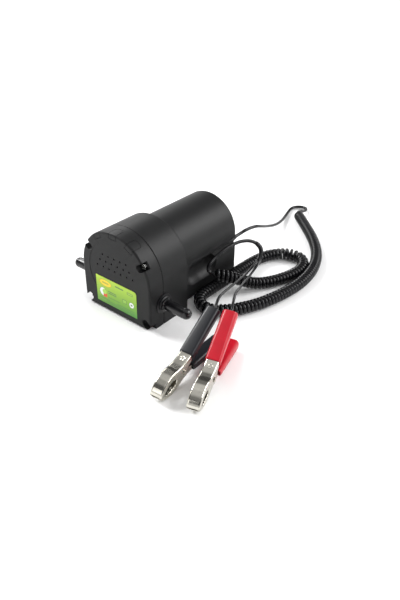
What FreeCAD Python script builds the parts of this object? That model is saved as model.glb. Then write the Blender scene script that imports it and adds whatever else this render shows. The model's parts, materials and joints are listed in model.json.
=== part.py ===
import FreeCAD, Part
import math
import os
import re

import Sketcher
from FreeCAD import Placement, Rotation, Vector

# A 12 V gear pump for oil and diesel: a black moulded case with a round motor end, two capped hose
# ports, a curly lead and two battery clips. Millimetres, +Z up, the front cover faces -Y, the ports
# point along +X and -X, and the origin is on the floor under the middle of the case.

SIZES = {
    # case
    "case_length": 167,
    "case_radius": 52.5,
    "cover_depth": 22,
    "face_wall": 2.5,
    "case_wall": 2.5,
    "cover_rim": 2.4,
    "seam_edge": 0.7,
    "front_length": "=case_length * 63 / 167",
    "motor_radius": 43.2,
    "motor_height": 55.4,
    "shoulder_radius": 9.2,
    "rear_wall": 7,
    "foot_half_width": 44,
    "foot_edge": 6,
    "foot_height": 34,
    "grip_radius": 16,
    "grip_reach": 50.5,
    "grip_height": 33.5,
    "grip_share": 0.577,
    "grip_wall": 2.2,
    "groove_radius": 8,
    "groove_reach": 49.5,
    "groove_height": 44,
    # face details
    "dial_radius": 41,
    "dial_depth": 0.3,
    "vent_pitch": 9.14,
    "vent_radius": 1.15,
    "vent_height": 65.9,
    "label_width": 64,
    "label_tall": 34.6,
    "label_height": 26.2,
    "label_thick": 0.4,
    "label_corner": 4,
    "tab_width": 11.5,
    "tab_depth": 14,
    "tab_reach": 7,
    "tab_corner": 4.5,
    "tab_gap": 0.45,
    "tab_spread": 30,
    # cover screws and their pockets
    "pocket_radius": 4.7,
    "pocket_depth": 9,
    "pocket_wall": 2,
    "upper_screw_ring": 46,
    "upper_screw_turn": 58,
    "lower_screw_across": 44.5,
    "lower_screw_height": 8.5,
    "screw_radius": 2,
    "screw_head_radius": 3.4,
    "screw_head_tall": 2.6,
    "screw_length": 26,
    # ports
    "port_height": 28.5,
    "port_hole": 9.2,
    "collar_radius": 11.8,
    "collar_step": 8.8,
    "nipple_radius": 4.4,
    "barb_radius": 4.9,
    "nipple_bore": 3,
    "nipple_reach": 27.5,
    "cap_gap": 0.25,
    "cap_radius": 6.3,
    "cap_reach": 39,
    "cap_end": 7,
    # gear pump
    "block_half_width": 24,
    "block_low": 17,
    "block_high": 89,
    "block_front": 7.5,
    "block_depth": 26,
    "plate_thick": 4,
    "gear_module": 1.6,
    "gear_teeth": 11,
    "gear_width": 13.8,
    "gear_gap": 0.12,
    "gear_centres": 17.7,
    "shaft_radius": 3,
    "shaft_gap": 0.05,
    "seal_radius": 7,
    "seal_thick": 4,
    # motor
    "can_radius": 36,
    "can_wall": 1.5,
    "can_clear": 39.5,
    "bell_thick": 4,
    "magnet_inner": 26,
    "magnet_inset": 8,
    "magnet_clear": 26,
    "core_radius": 25.2,
    "core_inset": 11,
    "core_clear": 29,
    "core_slots": 12,
    "winding_radius": 22,
    "commutator_radius": 9,
    "commutator_length": 13,
    "bush_radius": 8,
    # switch and gland
    "switch_height": 62,
    "recess_depth": 4,
    "gland_across": 33,
    "gland_height": 41,
    "gland_length": 14,
    # cord
    "cable_radius": 2.25,
    "coil_radius": 7.5,
    "wire_radius": 1.5,
    # battery clips
    "clip_width": 13.7,
    "clip_sheet": 1,
    "clip_gap": 0.15,
    "hinge_along": 39,
    "hinge_pin": 1.5,
    "ear_radius": 5.2,
    "sleeve_start": 53,
    "sleeve_end": 105,
    "sleeve_width": 15.5,
    "sleeve_wall": 1.1,
}

doc = FreeCAD.newDocument("transfer_pump")
sheet = doc.addObject("Spreadsheet::Sheet", "Sizes")
for line, (alias, size) in enumerate(SIZES.items(), start=1):
    sheet.set(f"A{line}", alias)
    sheet.set(f"B{line}", str(size))
    sheet.setAlias(f"B{line}", alias)
doc.recompute()

# Places along the length, from the front face to the rear face.
FRONT = "(-case_length / 2)"
REAR = "(case_length / 2)"
SEAM = f"({FRONT} + cover_depth)"
FRONT_END = f"({FRONT} + front_length)"
BLOCK_FRONT = f"({FRONT} + block_front)"
BLOCK_REAR = f"({BLOCK_FRONT} + block_depth)"
CHAMBER_REAR = f"({BLOCK_FRONT} + gear_width + 2 * gear_gap)"
CAN_FRONT = f"({BLOCK_REAR} + bell_thick)"
CAN_REAR = f"({REAR} - can_clear)"
CAVITY_REAR = f"({REAR} - rear_wall)"
IDLER_HEIGHT = "(motor_height - gear_centres)"
nodes = []


# ---------------------------------------------------------------- helpers
def sized(expression):
    """The expression with each size's name turned into its cell in the sheet."""
    return re.sub(r"[a-z_]{3,}", lambda m: f"Sizes.{m[0]}" if m[0] in SIZES else m[0], str(expression))


def value(expression):
    """The expression's value now."""
    result = sheet.evalExpression(sized(expression))
    return float(getattr(result, "Value", result))


def bind(thing, **properties):
    """Bind properties, such as Length or Placement.Base.x written Placement_Base_x, to expressions."""
    for name, expression in properties.items():
        thing.setExpression(name.replace("_", "."), sized(expression))
    return thing


def put(thing, x="0", y="0", z="0", turn=None):
    """Place a thing, turned first by a Rotation."""
    if turn is not None:
        thing.Placement = Placement(Vector(), turn)
    return bind(thing, Placement_Base_x=x, Placement_Base_y=y, Placement_Base_z=z)


def node(thing, label):
    """Name a finished sub-part and keep it for the export."""
    thing.Label = label
    nodes.append(thing)
    return thing


def box(name, x, y, z):
    """A block between two values along each axis."""
    block = doc.addObject("Part::Box", name)
    bind(block, Length=f"({x[1]}) - ({x[0]})", Width=f"({y[1]}) - ({y[0]})", Height=f"({z[1]}) - ({z[0]})")
    return put(block, x[0], y[0], z[0])


TURNS = {"x": Rotation(Vector(0, 1, 0), 90), "y": Rotation(Vector(1, 0, 0), -90), "z": Rotation()}


def rod(name, axis, radius, span, at):
    """A cylinder along an axis over a span, at its two other coordinates in x, y, z order."""
    cylinder = doc.addObject("Part::Cylinder", name)
    bind(cylinder, Radius=radius, Height=f"({span[1]}) - ({span[0]})")
    places = list(at)
    places.insert("xyz".index(axis), span[0])
    return put(cylinder, *places, turn=TURNS[axis])


def fuse(name, *parts):
    if len(parts) == 1:
        return parts[0]
    joined = doc.addObject("Part::MultiFuse", name)
    joined.Shapes = list(parts)
    return joined


def cut(name, base, *tools):
    result = doc.addObject("Part::Cut", name)
    result.Base = base
    result.Tool = fuse(name + "_tools", *tools)
    return result


def common(name, first, second):
    result = doc.addObject("Part::Common", name)
    result.Base = first
    result.Tool = second
    return result


def group(name, *parts):
    """Separate solids of one node."""
    together = doc.addObject("Part::Compound", name)
    together.Links = list(parts)
    return together


def sketch(body, name, plane, points):
    """A closed outline on one of the body's planes. A point is (across, up) and a third value is the
    radius of the arc that leads to the next point, positive when it bulges to the right of the way."""
    drawing = body.newObject("Sketcher::SketchObject", name)
    role = next(o for o in body.Origin.OriginFeatures if o.Role == plane)
    drawing.AttachmentSupport = [(role, "")]
    drawing.MapMode = "FlatFace"
    places = [Vector(value(p[0]), value(p[1]), 0) for p in points]
    lines = []
    for i, point in enumerate(points):
        start, end = places[i], places[(i + 1) % len(points)]
        if len(point) < 3:
            lines.append(Part.LineSegment(start, end))
            continue
        radius = value(point[2])
        middle = (start + end) * 0.5
        half = (end - start).Length / 2
        side = Vector(end.y - start.y, start.x - end.x, 0).normalize() * math.copysign(1, radius)
        rise = abs(radius) - math.sqrt(max(radius**2 - half**2, 0))
        lines.append(Part.Arc(start, middle + side * rise, end))
    indices = drawing.addGeometry(lines, False)
    first = [1 if (drawing.getPoint(i, 1) - places[i]).Length < 1e-6 else 2 for i in indices]
    rules, bound = [], []
    for i, point in enumerate(points):
        j = (i + 1) % len(points)
        rules.append(Sketcher.Constraint("Coincident", i, 3 - first[i], j, first[j]))
        for kind, expression in zip(("DistanceX", "DistanceY"), point[:2]):
            bound.append((len(rules), expression))
            rules.append(Sketcher.Constraint(kind, -1, 1, i, first[i], value(expression)))
        if len(point) == 3:
            bound.append((len(rules), f"abs({point[2]})"))
            rules.append(Sketcher.Constraint("Radius", i, abs(value(point[2]))))
    drawing.addConstraint(rules)
    for index, expression in bound:
        drawing.setExpression(f"Constraints[{index}]", sized(expression))
    return drawing


def prism(name, plane, points, length, middle=False, back=False):
    """A PartDesign body: an outline padded along its plane's normal."""
    body = doc.addObject("PartDesign::Body", name)
    pad = body.newObject("PartDesign::Pad", name + "_pad")
    pad.Profile = sketch(body, name + "_outline", plane, points)
    pad.Midplane = middle
    pad.Reversed = back
    return body, bind(pad, Length=length)


def lathe(name, points):
    """A PartDesign body turned about its X axis from points (along, radius)."""
    body = doc.addObject("PartDesign::Body", name)
    outline = sketch(body, name + "_outline", "XY_Plane", points)
    turned = body.newObject("PartDesign::Revolution", name + "_turned")
    turned.Profile = outline
    turned.ReferenceAxis = (outline, ["H_Axis"])
    turned.Angle = 360
    return body


def soften_seam(body, last, along):
    """Round the outer edges of a body's end where the cover and the housing meet."""
    seam = [
        f"Edge{i}"
        for i, edge in enumerate(last.Shape.Edges, start=1)
        if abs(edge.BoundBox.YMin - along) < 0.01 and abs(edge.BoundBox.YMax - along) < 0.01
    ]
    soft = body.newObject("PartDesign::Chamfer", body.Name + "_seam")
    soft.Base = (last, seam)
    bind(soft, Size="seam_edge")
    return soft


ALONG_Y = Rotation(Vector(0, 0, 1), 90)
SIDES = {"right": (1, Rotation()), "left": (-1, Rotation(Vector(0, 0, 1), 180))}


# ---------------------------------------------------------------- front cover
def case_outline(inset="0"):
    """The case's end view: a flat base, straight sides and a round top."""
    r = f"(case_radius - {inset})"
    return [
        (f"-{r}", inset),
        (r, inset),
        (r, "case_radius", r),
        ("0", f"case_radius + {r}", r),
        (f"-{r}", "case_radius"),
    ]


def corner_slot(name, radius, start, end, place, heading):
    """A slot with a round inner end, open outwards along its heading, measured from straight up."""
    turn = math.radians(heading)
    pin = rod(name + "_end", "y", radius, (start, end), place)
    way = doc.addObject("Part::Box", name + "_way")
    bind(way, Length=f"2 * ({radius})", Width=f"({end}) - ({start})", Height="pocket_depth * 2")
    x = f"{place[0]} - ({radius}) * {math.cos(turn)}"
    z = f"{place[1]} + ({radius}) * {math.sin(turn)}"
    put(way, x, start, z, Rotation(Vector(0, 1, 0), heading))
    return fuse(name, pin, way)


SCREWS = {}
for word, (sign, _) in SIDES.items():
    SCREWS["upper_" + word] = (
        f"{sign} * upper_screw_ring * sin(upper_screw_turn * 1 deg)",
        "case_radius + upper_screw_ring * cos(upper_screw_turn * 1 deg)",
        sign * SIZES["upper_screw_turn"],
    )
    SCREWS["lower_" + word] = (f"{sign} * lower_screw_across", "lower_screw_height", sign * 135)
POCKET_FLOOR = f"({FRONT} + pocket_depth)"

# The cover is a shell with a boss round each screw pocket.
cover_block, cover_pad = prism("cover_block", "XZ_Plane", case_outline(), "cover_depth")
doc.recompute()
rim = [
    f"Edge{i}"
    for i, edge in enumerate(cover_pad.Shape.Edges, start=1)
    if edge.BoundBox.YMax < -value("cover_depth") + 0.01
]
rounded = cover_block.newObject("PartDesign::Fillet", "cover_rim")
rounded.Base = (cover_pad, rim)
bind(rounded, Radius="cover_rim")
doc.recompute()
soften_seam(cover_block, rounded, 0)
put(cover_block, y=SEAM)

cover_hollow, _ = prism(
    "cover_hollow", "XZ_Plane", case_outline("case_wall"), "cover_depth - face_wall + 1"
)
put(cover_hollow, y=f"{SEAM} + 1")
bosses = [
    corner_slot(f"{name}_boss", "pocket_radius + pocket_wall", f"{FRONT} - 1", f"{SEAM} + 2", (x, z), turn)
    for name, (x, z, turn) in SCREWS.items()
]
cover_space = cut("cover_space", cover_hollow, *bosses)
pockets = [
    corner_slot(f"{name}_pocket", "pocket_radius", f"{FRONT} - 1", POCKET_FLOOR, (x, z), turn)
    for name, (x, z, turn) in SCREWS.items()
]
screw_ways = [
    rod(f"{name}_way_in", "y", "screw_radius + 0.3", (FRONT, f"{SEAM} + 1"), (x, z))
    for name, (x, z, _) in SCREWS.items()
]
vents = []
for row, count in enumerate((7, 6, 5), start=-1):
    for i in range(count):
        x = f"{i - (count - 1) / 2} * vent_pitch"
        z = f"vent_height + {row} * vent_pitch * sqrt(3) / 2"
        vents.append(rod(f"vent_{row + 1}_{i}", "y", "vent_radius", (f"{FRONT} - 1", SEAM), (x, z)))


def tab_prisms(name, gap):
    """The three latch tabs' outlines, driven down into the rim, smaller by a gap all round."""
    half, end = f"(tab_width / 2 - {gap})", f"(tab_depth - {gap})"
    corner = f"(tab_corner - {gap})"
    points = [
        (f"-{half}", "-1"),
        (half, "-1"),
        (half, f"{end} - {corner}", corner),
        (f"{half} - {corner}", end),
        (f"-{half} + {corner}", end, corner),
        (f"-{half}", f"{end} - {corner}"),
    ]
    tabs = []
    for word, side in (("left", -1), ("middle", 0), ("right", 1)):
        tab, _ = prism(f"{name}_{word}", "XY_Plane", points, f"tab_reach + 2 - {gap}")
        turn = side * SIZES["tab_spread"]
        low = f"(case_radius - tab_reach + {gap})"
        x = f"{low} * {math.sin(math.radians(turn))}"
        z = f"case_radius + {low} * {math.cos(math.radians(turn))}"
        tabs.append(put(tab, x, FRONT, z, Rotation(Vector(0, 1, 0), turn)))
    return tabs


port_way = rod("port_way", "x", "port_hole", ("-case_radius - 2", "case_radius + 2"), (SEAM, "port_height"))
label_points = [
    ("-label_width / 2", "label_height - label_tall / 2"),
    ("label_width / 2", "label_height - label_tall / 2"),
    ("label_width / 2", "label_height + label_tall / 2 - label_corner", "label_corner"),
    ("label_width / 2 - label_corner", "label_height + label_tall / 2"),
    ("-label_width / 2", "label_height + label_tall / 2"),
]
dial = rod("dial", "y", "dial_radius", (f"{FRONT} - 1", f"{FRONT} + dial_depth"), ("0", "case_radius"))
label_seat, _ = prism("label_seat", "XZ_Plane", label_points, "label_thick + 1")
put(label_seat, y=f"{FRONT} + label_thick")
cover_shell = cut("cover_shell", cover_block, cover_space)
front_cover = cut(
    "front_cover_cut",
    cover_shell,
    *pockets,
    *screw_ways,
    *vents,
    *tab_prisms("slot", "0"),
    port_way,
    label_seat,
    dial,
)
node(front_cover, "front_cover")
latch_stock = cut("latch_stock", cover_shell, *screw_ways)
hook_ring = rod("hook_ring", "y", "case_radius - case_wall", (FRONT, FRONT_END), ("0", "case_radius"))
latches = []
for i, tab in enumerate(tab_prisms("tab", "tab_gap")):
    turn = (i - 1) * SIZES["tab_spread"]
    hook = doc.addObject("Part::Box", f"hook_{i}")
    bind(hook, Length="tab_width * 0.6", Width=f"{SEAM} - ({FRONT}) + 6 - tab_depth * 0.6", Height="6")
    low, half = "(case_radius - case_wall - 3)", "(tab_width * 0.3)"
    across, up = math.sin(math.radians(turn)), math.cos(math.radians(turn))
    put(
        hook, f"{low} * {across} - {half} * {up}", f"{FRONT} + tab_depth * 0.6",
        f"case_radius + {low} * {up} + {half} * {across}", Rotation(Vector(0, 1, 0), turn),
    )
    latches.append(
        fuse(
            f"latch_{i}",
            common(f"latch_face_{i}", latch_stock, tab),
            common(f"latch_hook_{i}", hook_ring, hook),
        )
    )
node(group("latches", *latches), "latch_tabs")
label, _ = prism("label_body", "XZ_Plane", label_points, "label_thick")
node(put(label, y=f"{FRONT} + label_thick"), "label")


# ---------------------------------------------------------------- main housing
front_block, front_pad = prism("front_block", "XZ_Plane", case_outline(), "front_length - cover_depth")
doc.recompute()
soften_seam(front_block, front_pad, -value("front_length - cover_depth"))
put(front_block, y=FRONT_END)
shoulder_stock, _ = prism("shoulder_stock", "XZ_Plane", case_outline(), "shoulder_radius + 1")
put(shoulder_stock, y=f"{FRONT_END} + shoulder_radius")
shoulder_turn = lathe(
    "shoulder_turn",
    [
        ("-1", "0"),
        ("-1", "motor_radius + shoulder_radius"),
        ("0", "motor_radius + shoulder_radius", "shoulder_radius"),
        ("shoulder_radius", "motor_radius"),
        ("shoulder_radius", "0"),
    ],
)
put(shoulder_turn, y=FRONT_END, z="motor_height", turn=ALONG_Y)
shoulder = common("shoulder", shoulder_stock, shoulder_turn)
skirt, _ = prism(
    "skirt",
    "XY_Plane",
    [
        ("-case_radius", "-1"),
        ("case_radius", "-1"),
        ("case_radius", "0", "-(case_radius - foot_half_width + 0.5)"),
        ("foot_half_width - 0.5", "case_radius - foot_half_width + 0.5"),
        (
            "-foot_half_width + 0.5",
            "case_radius - foot_half_width + 0.5",
            "-(case_radius - foot_half_width + 0.5)",
        ),
        ("-case_radius", "0"),
    ],
    "motor_height",
)
put(skirt, y=FRONT_END)
motor_tube = rod("motor_tube", "y", "motor_radius", (f"{FRONT_END} - 1", REAR), ("0", "motor_height"))
foot, _ = prism(
    "foot",
    "XZ_Plane",
    [
        ("-foot_half_width + foot_edge", "0"),
        ("foot_half_width - foot_edge", "0", "foot_edge"),
        ("foot_half_width", "foot_edge"),
        ("foot_half_width", "foot_height"),
        ("motor_radius - 0.4", "motor_height"),
        ("-motor_radius + 0.4", "motor_height"),
        ("-foot_half_width", "foot_height"),
        ("-foot_half_width", "foot_edge", "foot_edge"),
    ],
    "case_length - front_length + 1",
)
put(foot, y=REAR)
housing_block = fuse("housing_block", front_block, shoulder, skirt, motor_tube, foot)

front_space, _ = prism(
    "front_space", "XZ_Plane", case_outline("case_wall"), "front_length - cover_depth + 1 - case_wall"
)
put(front_space, y=f"{FRONT_END} - case_wall")
columns = [
    rod(f"{name}_column", "y", "pocket_radius + 1.5", (f"{SEAM} - 2", FRONT_END), (x, z))
    for name, (x, z, _) in SCREWS.items()
]
housing_space = cut("housing_space", front_space, *columns)
GRIP_START = f"({FRONT_END} + shoulder_radius + grip_radius - 2)"
GRIP_END = f"({GRIP_START} + grip_share * (case_length - front_length) - 2 * grip_radius)"


def grips(name, grow):
    """A finger grip on each side of the foot: a round scoop with ball ends."""
    scoops = []
    for word, (sign, _) in SIDES.items():
        place = (f"{sign} * grip_reach", "grip_height")
        scoops.append(rod(f"{name}_{word}", "y", f"grip_radius + {grow}", (GRIP_START, GRIP_END), place))
        for number, end in enumerate((GRIP_START, GRIP_END)):
            ball = doc.addObject("Part::Sphere", f"{name}_{word}_{number}")
            bind(ball, Radius=f"grip_radius + {grow}")
            scoops.append(put(ball, place[0], end, place[1]))
    return scoops


motor_tunnel = rod("motor_tunnel", "y", "motor_radius - 3.2", (SEAM, CAVITY_REAR), ("0", "motor_height"))
motor_space = cut("motor_space", motor_tunnel, *grips("grip_wall", "grip_wall"))
foot_space = box("foot_space", ("-29", "29"), (f"{FRONT_END} - 6", CAVITY_REAR), ("case_wall", "24"))
rear_space = box(
    "rear_space",
    ("-gland_across - 6", "gland_across + 6"),
    (f"{GRIP_END} + grip_radius + grip_wall", CAVITY_REAR),
    ("case_wall + 4", "gland_height + 7"),
)
grooves = [
    rod(
        f"groove_{word}",
        "y",
        "groove_radius",
        (GRIP_END, f"{REAR} + 1"),
        (f"{sign} * groove_reach", "groove_height"),
    )
    for word, (sign, _) in SIDES.items()
]
screw_holes = [
    rod(
        f"{name}_thread",
        "y",
        "screw_radius",
        (f"{SEAM} - 2", f"{FRONT} + pocket_depth + screw_length"),
        (x, z),
    )
    for name, (x, z, _) in SCREWS.items()
]
recess = box(
    "recess",
    ("-10", "10"),
    (f"{REAR} - recess_depth", f"{REAR} + 1"),
    ("switch_height - 13", "switch_height + 13"),
)
switch_way = box(
    "switch_way", ("-7", "7"), (f"{REAR} - 12", REAR), ("switch_height - 10", "switch_height + 10")
)
gland_way = rod("gland_way", "y", "4", (f"{REAR} - 12", f"{REAR} + 1"), ("gland_across", "gland_height"))
seam_port_way = rod(
    "seam_port_way", "x", "port_hole", ("-case_radius - 2", "case_radius + 2"), (SEAM, "port_height")
)
main_housing = cut(
    "main_housing_cut",
    housing_block,
    housing_space,
    motor_space,
    foot_space,
    rear_space,
    *grips("grip", "0"),
    *grooves,
    *screw_holes,
    recess,
    switch_way,
    gland_way,
    seam_port_way,
)
node(main_housing, "main_housing")


def pan_screw(name, x, z, seat, radius="screw_radius", head="screw_head_radius", tall="screw_head_tall",
              length="screw_length - 1"):
    """A pan-head screw that points along +Y, with a cross recess in its head."""
    shank = rod(name + "_shank", "y", radius, (f"{seat} - 0.5", f"{seat} + {length}"), (x, z))
    top = rod(name + "_head", "y", head, (f"{seat} - {tall}", seat), (x, z))
    slots = [
        box(f"{name}_slot_{i}", (f"{x} - {a}", f"{x} + {a}"), (f"{seat} - {tall} - 1", f"{seat} - {tall} + 1"),
            (f"{z} - {b}", f"{z} + {b}"))
        for i, (a, b) in enumerate(((f"{head} * 0.6", "0.4"), ("0.4", f"{head} * 0.6")))
    ]
    return cut(name, fuse(name + "_blank", shank, top), *slots)


for level in ("upper", "lower"):
    pair = [
        pan_screw(f"{level}_{word}_screw", *SCREWS[f"{level}_{word}"][:2], POCKET_FLOOR) for word in SIDES
    ]
    node(group(f"{level}_screws", *pair), f"{level}_cover_screws")


# ---------------------------------------------------------------- ports
for word, (sign, turn) in SIDES.items():
    place = {"x": f"{sign} * case_radius", "y": SEAM, "z": "port_height", "turn": turn}
    bore = "nipple_radius"
    collar = lathe(
        f"{word}_collar",
        [
            ("-case_wall - 1.6", bore),
            ("3.2", bore),
            ("3.2", "collar_step - 0.8"),
            ("2.4", "collar_step"),
            ("1.2", "collar_step"),
            ("1.2", "collar_radius"),
            ("0", "collar_radius"),
            ("0", "port_hole - 0.1"),
            ("-case_wall", "port_hole - 0.1"),
            ("-case_wall", "port_hole + 1.2"),
            ("-case_wall - 1.6", "port_hole + 1.2"),
        ],
    )
    node(put(collar, **place), f"{word}_port_collar")
    inner = "(block_half_width - case_radius)"
    points = [(f"{inner} - 8", "nipple_bore"), (f"{inner} - 8", "nipple_radius"), (inner, "nipple_radius")]
    points += [
        (inner, "nipple_radius + 3"),
        (f"{inner} + 5", "nipple_radius + 3"),
        (f"{inner} + 5", "nipple_radius"),
    ]
    barbs = 4
    pitch = 4.4
    for i in range(barbs):
        root = f"(nipple_reach - {(barbs - i) * pitch})"
        points += [(root, "nipple_radius"), (root, "barb_radius")]
        points += [(f"{root} + {pitch - 0.6}", "nipple_radius - 0.3")]
    points += [("nipple_reach", "nipple_radius - 0.3"), ("nipple_reach", "nipple_bore")]
    node(put(lathe(f"{word}_nipple", points), **place), f"{word}_hose_nipple")
    ball = "cap_radius"
    cap = lathe(
        f"{word}_cap",
        [
            ("3.6", "barb_radius + cap_gap"),
            ("3.6", "cap_radius + 1.5"),
            ("4.8", "cap_radius + 1.5"),
            ("5.6", "cap_radius"),
            (f"cap_reach - {ball} - 2.4", "cap_radius"),
            (f"cap_reach - {ball} - 1.6", "cap_radius - 0.5"),
            (f"cap_reach - {ball} - 0.6", "cap_radius - 0.5"),
            (f"cap_reach - {ball}", "cap_radius", f"-{ball}"),
            ("cap_reach", "0"),
            ("cap_reach - cap_end", "0"),
            ("cap_reach - cap_end", "barb_radius + cap_gap"),
        ],
    )
    node(put(cap, **place), f"{word}_port_cap")


# ---------------------------------------------------------------- gear pump
block = box(
    "block_stock",
    ("-block_half_width", "block_half_width"),
    (BLOCK_FRONT, BLOCK_REAR),
    ("block_low", "block_high"),
)
tip_radius = "(gear_module * (gear_teeth / 2 + 0.95))"
chambers = [
    rod(f"chamber_{i}", "y", f"{tip_radius} + 0.15", (f"{BLOCK_FRONT} - 1", CHAMBER_REAR), ("0", z))
    for i, z in enumerate(("motor_height", IDLER_HEIGHT))
]
mesh_height = f"((motor_height + {IDLER_HEIGHT}) / 2)"
ways = []
for word, (sign, _) in SIDES.items():
    ends = sorted((sign * 13, sign * 30))
    ways.append(
        rod(f"{word}_port_bore", "x", "nipple_radius", [str(e) for e in ends], (SEAM, "port_height"))
    )
    ways.append(
        rod(f"{word}_riser", "z", "3", ("port_height - 2", mesh_height), (f"{sign * 13}", f"{SEAM} - 3"))
    )
    reach = [str(e) for e in sorted((sign * 6, sign * 13))]
    ways.append(rod(f"{word}_feed", "x", "3", reach, (f"{SEAM} - 3.5", mesh_height)))
shaft_way = rod(
    "shaft_way", "y", "shaft_radius + shaft_gap", (BLOCK_FRONT, f"{BLOCK_REAR} + 1"), ("0", "motor_height")
)
seal_seat = rod(
    "seal_seat",
    "y",
    "seal_radius",
    (f"{BLOCK_REAR} - seal_thick", f"{BLOCK_REAR} + 1"),
    ("0", "motor_height"),
)
pin_seat = rod("pin_seat", "y", "shaft_radius", (BLOCK_FRONT, f"{BLOCK_REAR} - 3"), ("0", IDLER_HEIGHT))
CORNERS = [
    (f"{sign} * (block_half_width - 3.5)", z)
    for sign in (-1, 1) for z in ("block_low + 3.5", "block_high - 3.5")
]
bolt_taps = [
    rod(
        f"bolt_tap_{i}",
        "y",
        "1.9",
        (f"{BLOCK_REAR} - 10", f"{BLOCK_REAR} + 1"),
        ("0", f"motor_height + {sign} * (magnet_inner + 4)"),
    )
    for i, sign in enumerate((1, -1))
]
taps = [rod(f"tap_{i}", "y", "1.5", (BLOCK_FRONT, f"{BLOCK_FRONT} + 14"), c) for i, c in enumerate(CORNERS)]
node(
    cut("pump_block_cut", block, *chambers, *ways, shaft_way, seal_seat, pin_seat, *taps, *bolt_taps),
    "pump_block",
)
plate = box(
    "plate_stock",
    ("-block_half_width", "block_half_width"),
    (f"{BLOCK_FRONT} - plate_thick", BLOCK_FRONT),
    ("block_low", "block_high"),
)
plate_holes = [
    rod(f"plate_hole_{i}", "y", "1.5", (f"{BLOCK_FRONT} - plate_thick - 1", f"{BLOCK_FRONT} + 1"), c)
    for i, c in enumerate(CORNERS)
]
node(cut("pump_plate_cut", plate, *plate_holes), "pump_end_plate")
plate_screws = [
    pan_screw(f"plate_screw_{i}", *c, f"({BLOCK_FRONT} - plate_thick)", "1.5", "2.6", "0.9", "16")
    for i, c in enumerate(CORNERS)
]
node(group("plate_screw_set", *plate_screws), "pump_plate_screws")


def gear_face(turn):
    """A spur gear's outline: each flank is an involute of the base circle, thinned for backlash."""
    module, teeth = value("gear_module"), int(value("gear_teeth"))
    pitch = module * teeth / 2
    pressure, backlash = math.radians(25), 0.16
    base, tip, root = pitch * math.cos(pressure), value(tip_radius), pitch - 1.25 * module
    half = math.pi / 2 / teeth - backlash / pitch
    at_pitch = math.tan(pressure) - pressure
    radii = [root] + [base + (tip - base) * i / 5 for i in range(6)]
    spread = []
    for r in radii:
        angle = math.acos(min(base / max(r, base), 1))
        spread.append(half + at_pitch - (math.tan(angle) - angle))
    points = []
    for tooth in range(teeth):
        centre = turn + 2 * math.pi * tooth / teeth
        for r, s in zip(radii, spread):
            points.append((r, centre - s))
        for r, s in reversed(list(zip(radii, spread))):
            points.append((r, centre + s))
    corners = [Vector(r * math.cos(a), 0, r * math.sin(a)) for r, a in points]
    return Part.Face(Part.makePolygon(corners + corners[:1]))


def gear(label, height, turn, bore):
    """One gear of the pair, in mesh at rest, with its bore."""
    width = value("gear_width")
    solid = gear_face(turn).extrude(Vector(0, width, 0))
    hole = Part.makeCylinder(value(bore), width + 2, Vector(0, -1, 0), Vector(0, 1, 0))
    feature = doc.addObject("Part::Feature", label + "_shape")
    feature.Shape = solid.cut(hole)
    return node(put(feature, y=f"{BLOCK_FRONT} + gear_gap", z=height), label)


half_tooth = math.pi / value("gear_teeth")
gear("drive_gear", "motor_height", -math.pi / 2, "shaft_radius")
gear("idler_gear", IDLER_HEIGHT, math.pi / 2 + half_tooth, "shaft_radius + shaft_gap")
node(
    rod(
        "idler_pin_rod",
        "y",
        "shaft_radius",
        (f"{BLOCK_FRONT} + 0.1", f"{BLOCK_REAR} - 3"),
        ("0", IDLER_HEIGHT),
    ),
    "idler_pin",
)
seal = lathe(
    "seal_ring",
    [
        ("0", "shaft_radius + shaft_gap"),
        ("1", "shaft_radius + shaft_gap"),
        ("2", "shaft_radius + 1.5"),
        ("seal_thick", "shaft_radius + 1.5"),
        ("seal_thick", "seal_radius"),
        ("0", "seal_radius"),
    ],
)
node(put(seal, y=f"{BLOCK_REAR} - seal_thick", z="motor_height", turn=ALONG_Y), "shaft_seal")


# ---------------------------------------------------------------- motor
def ring(name, inner, outer, span, height="motor_height"):
    """A plain tube about the motor's axis."""
    outside = rod(name + "_outside", "y", outer, span, ("0", height))
    inside = rod(name + "_inside", "y", inner, (f"{span[0]} - 1", f"{span[1]} + 1"), ("0", height))
    return cut(name, outside, inside)


def bolt_places():
    return [("0", f"motor_height + {sign} * (magnet_inner + 4)") for sign in (1, -1)]


node(ring("can_tube", "can_radius - can_wall", "can_radius", (CAN_FRONT, CAN_REAR)), "motor_can")
for label, start in (("motor_front_bell", BLOCK_REAR), ("motor_rear_bell", CAN_REAR)):
    end = f"({start} + bell_thick)"
    disc = rod(label + "_disc", "y", "can_radius", (start, end), ("0", "motor_height"))
    bore = rod(label + "_bore", "y", "bush_radius", (f"{start} - 1", f"{end} + 1"), ("0", "motor_height"))
    holes = [
        rod(f"{label}_hole_{i}", "y", "2", (f"{start} - 1", f"{end} + 1"), c)
        for i, c in enumerate(bolt_places())
    ]
    node(cut(label + "_cut", disc, bore, *holes), label)
    bush = ring(label + "_bush", "shaft_radius + shaft_gap", "bush_radius", (start, end))
    node(bush, label.replace("bell", "bearing"))
magnets = []
for word, (sign, _) in SIDES.items():
    arc = ring(
        f"{word}_magnet_ring", "magnet_inner", "can_radius - can_wall",
        (f"{CAN_FRONT} + magnet_inset", f"{CAN_REAR} - magnet_clear"),
    )
    keep = [str(e) for e in sorted((sign * 14, sign * 60))]
    window = box(f"{word}_magnet_window", keep, (CAN_FRONT, CAN_REAR), ("0", "2 * motor_height"))
    magnets.append(common(f"{word}_magnet", arc, window))
node(group("magnets", *magnets), "field_magnets")
bolts = []
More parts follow.
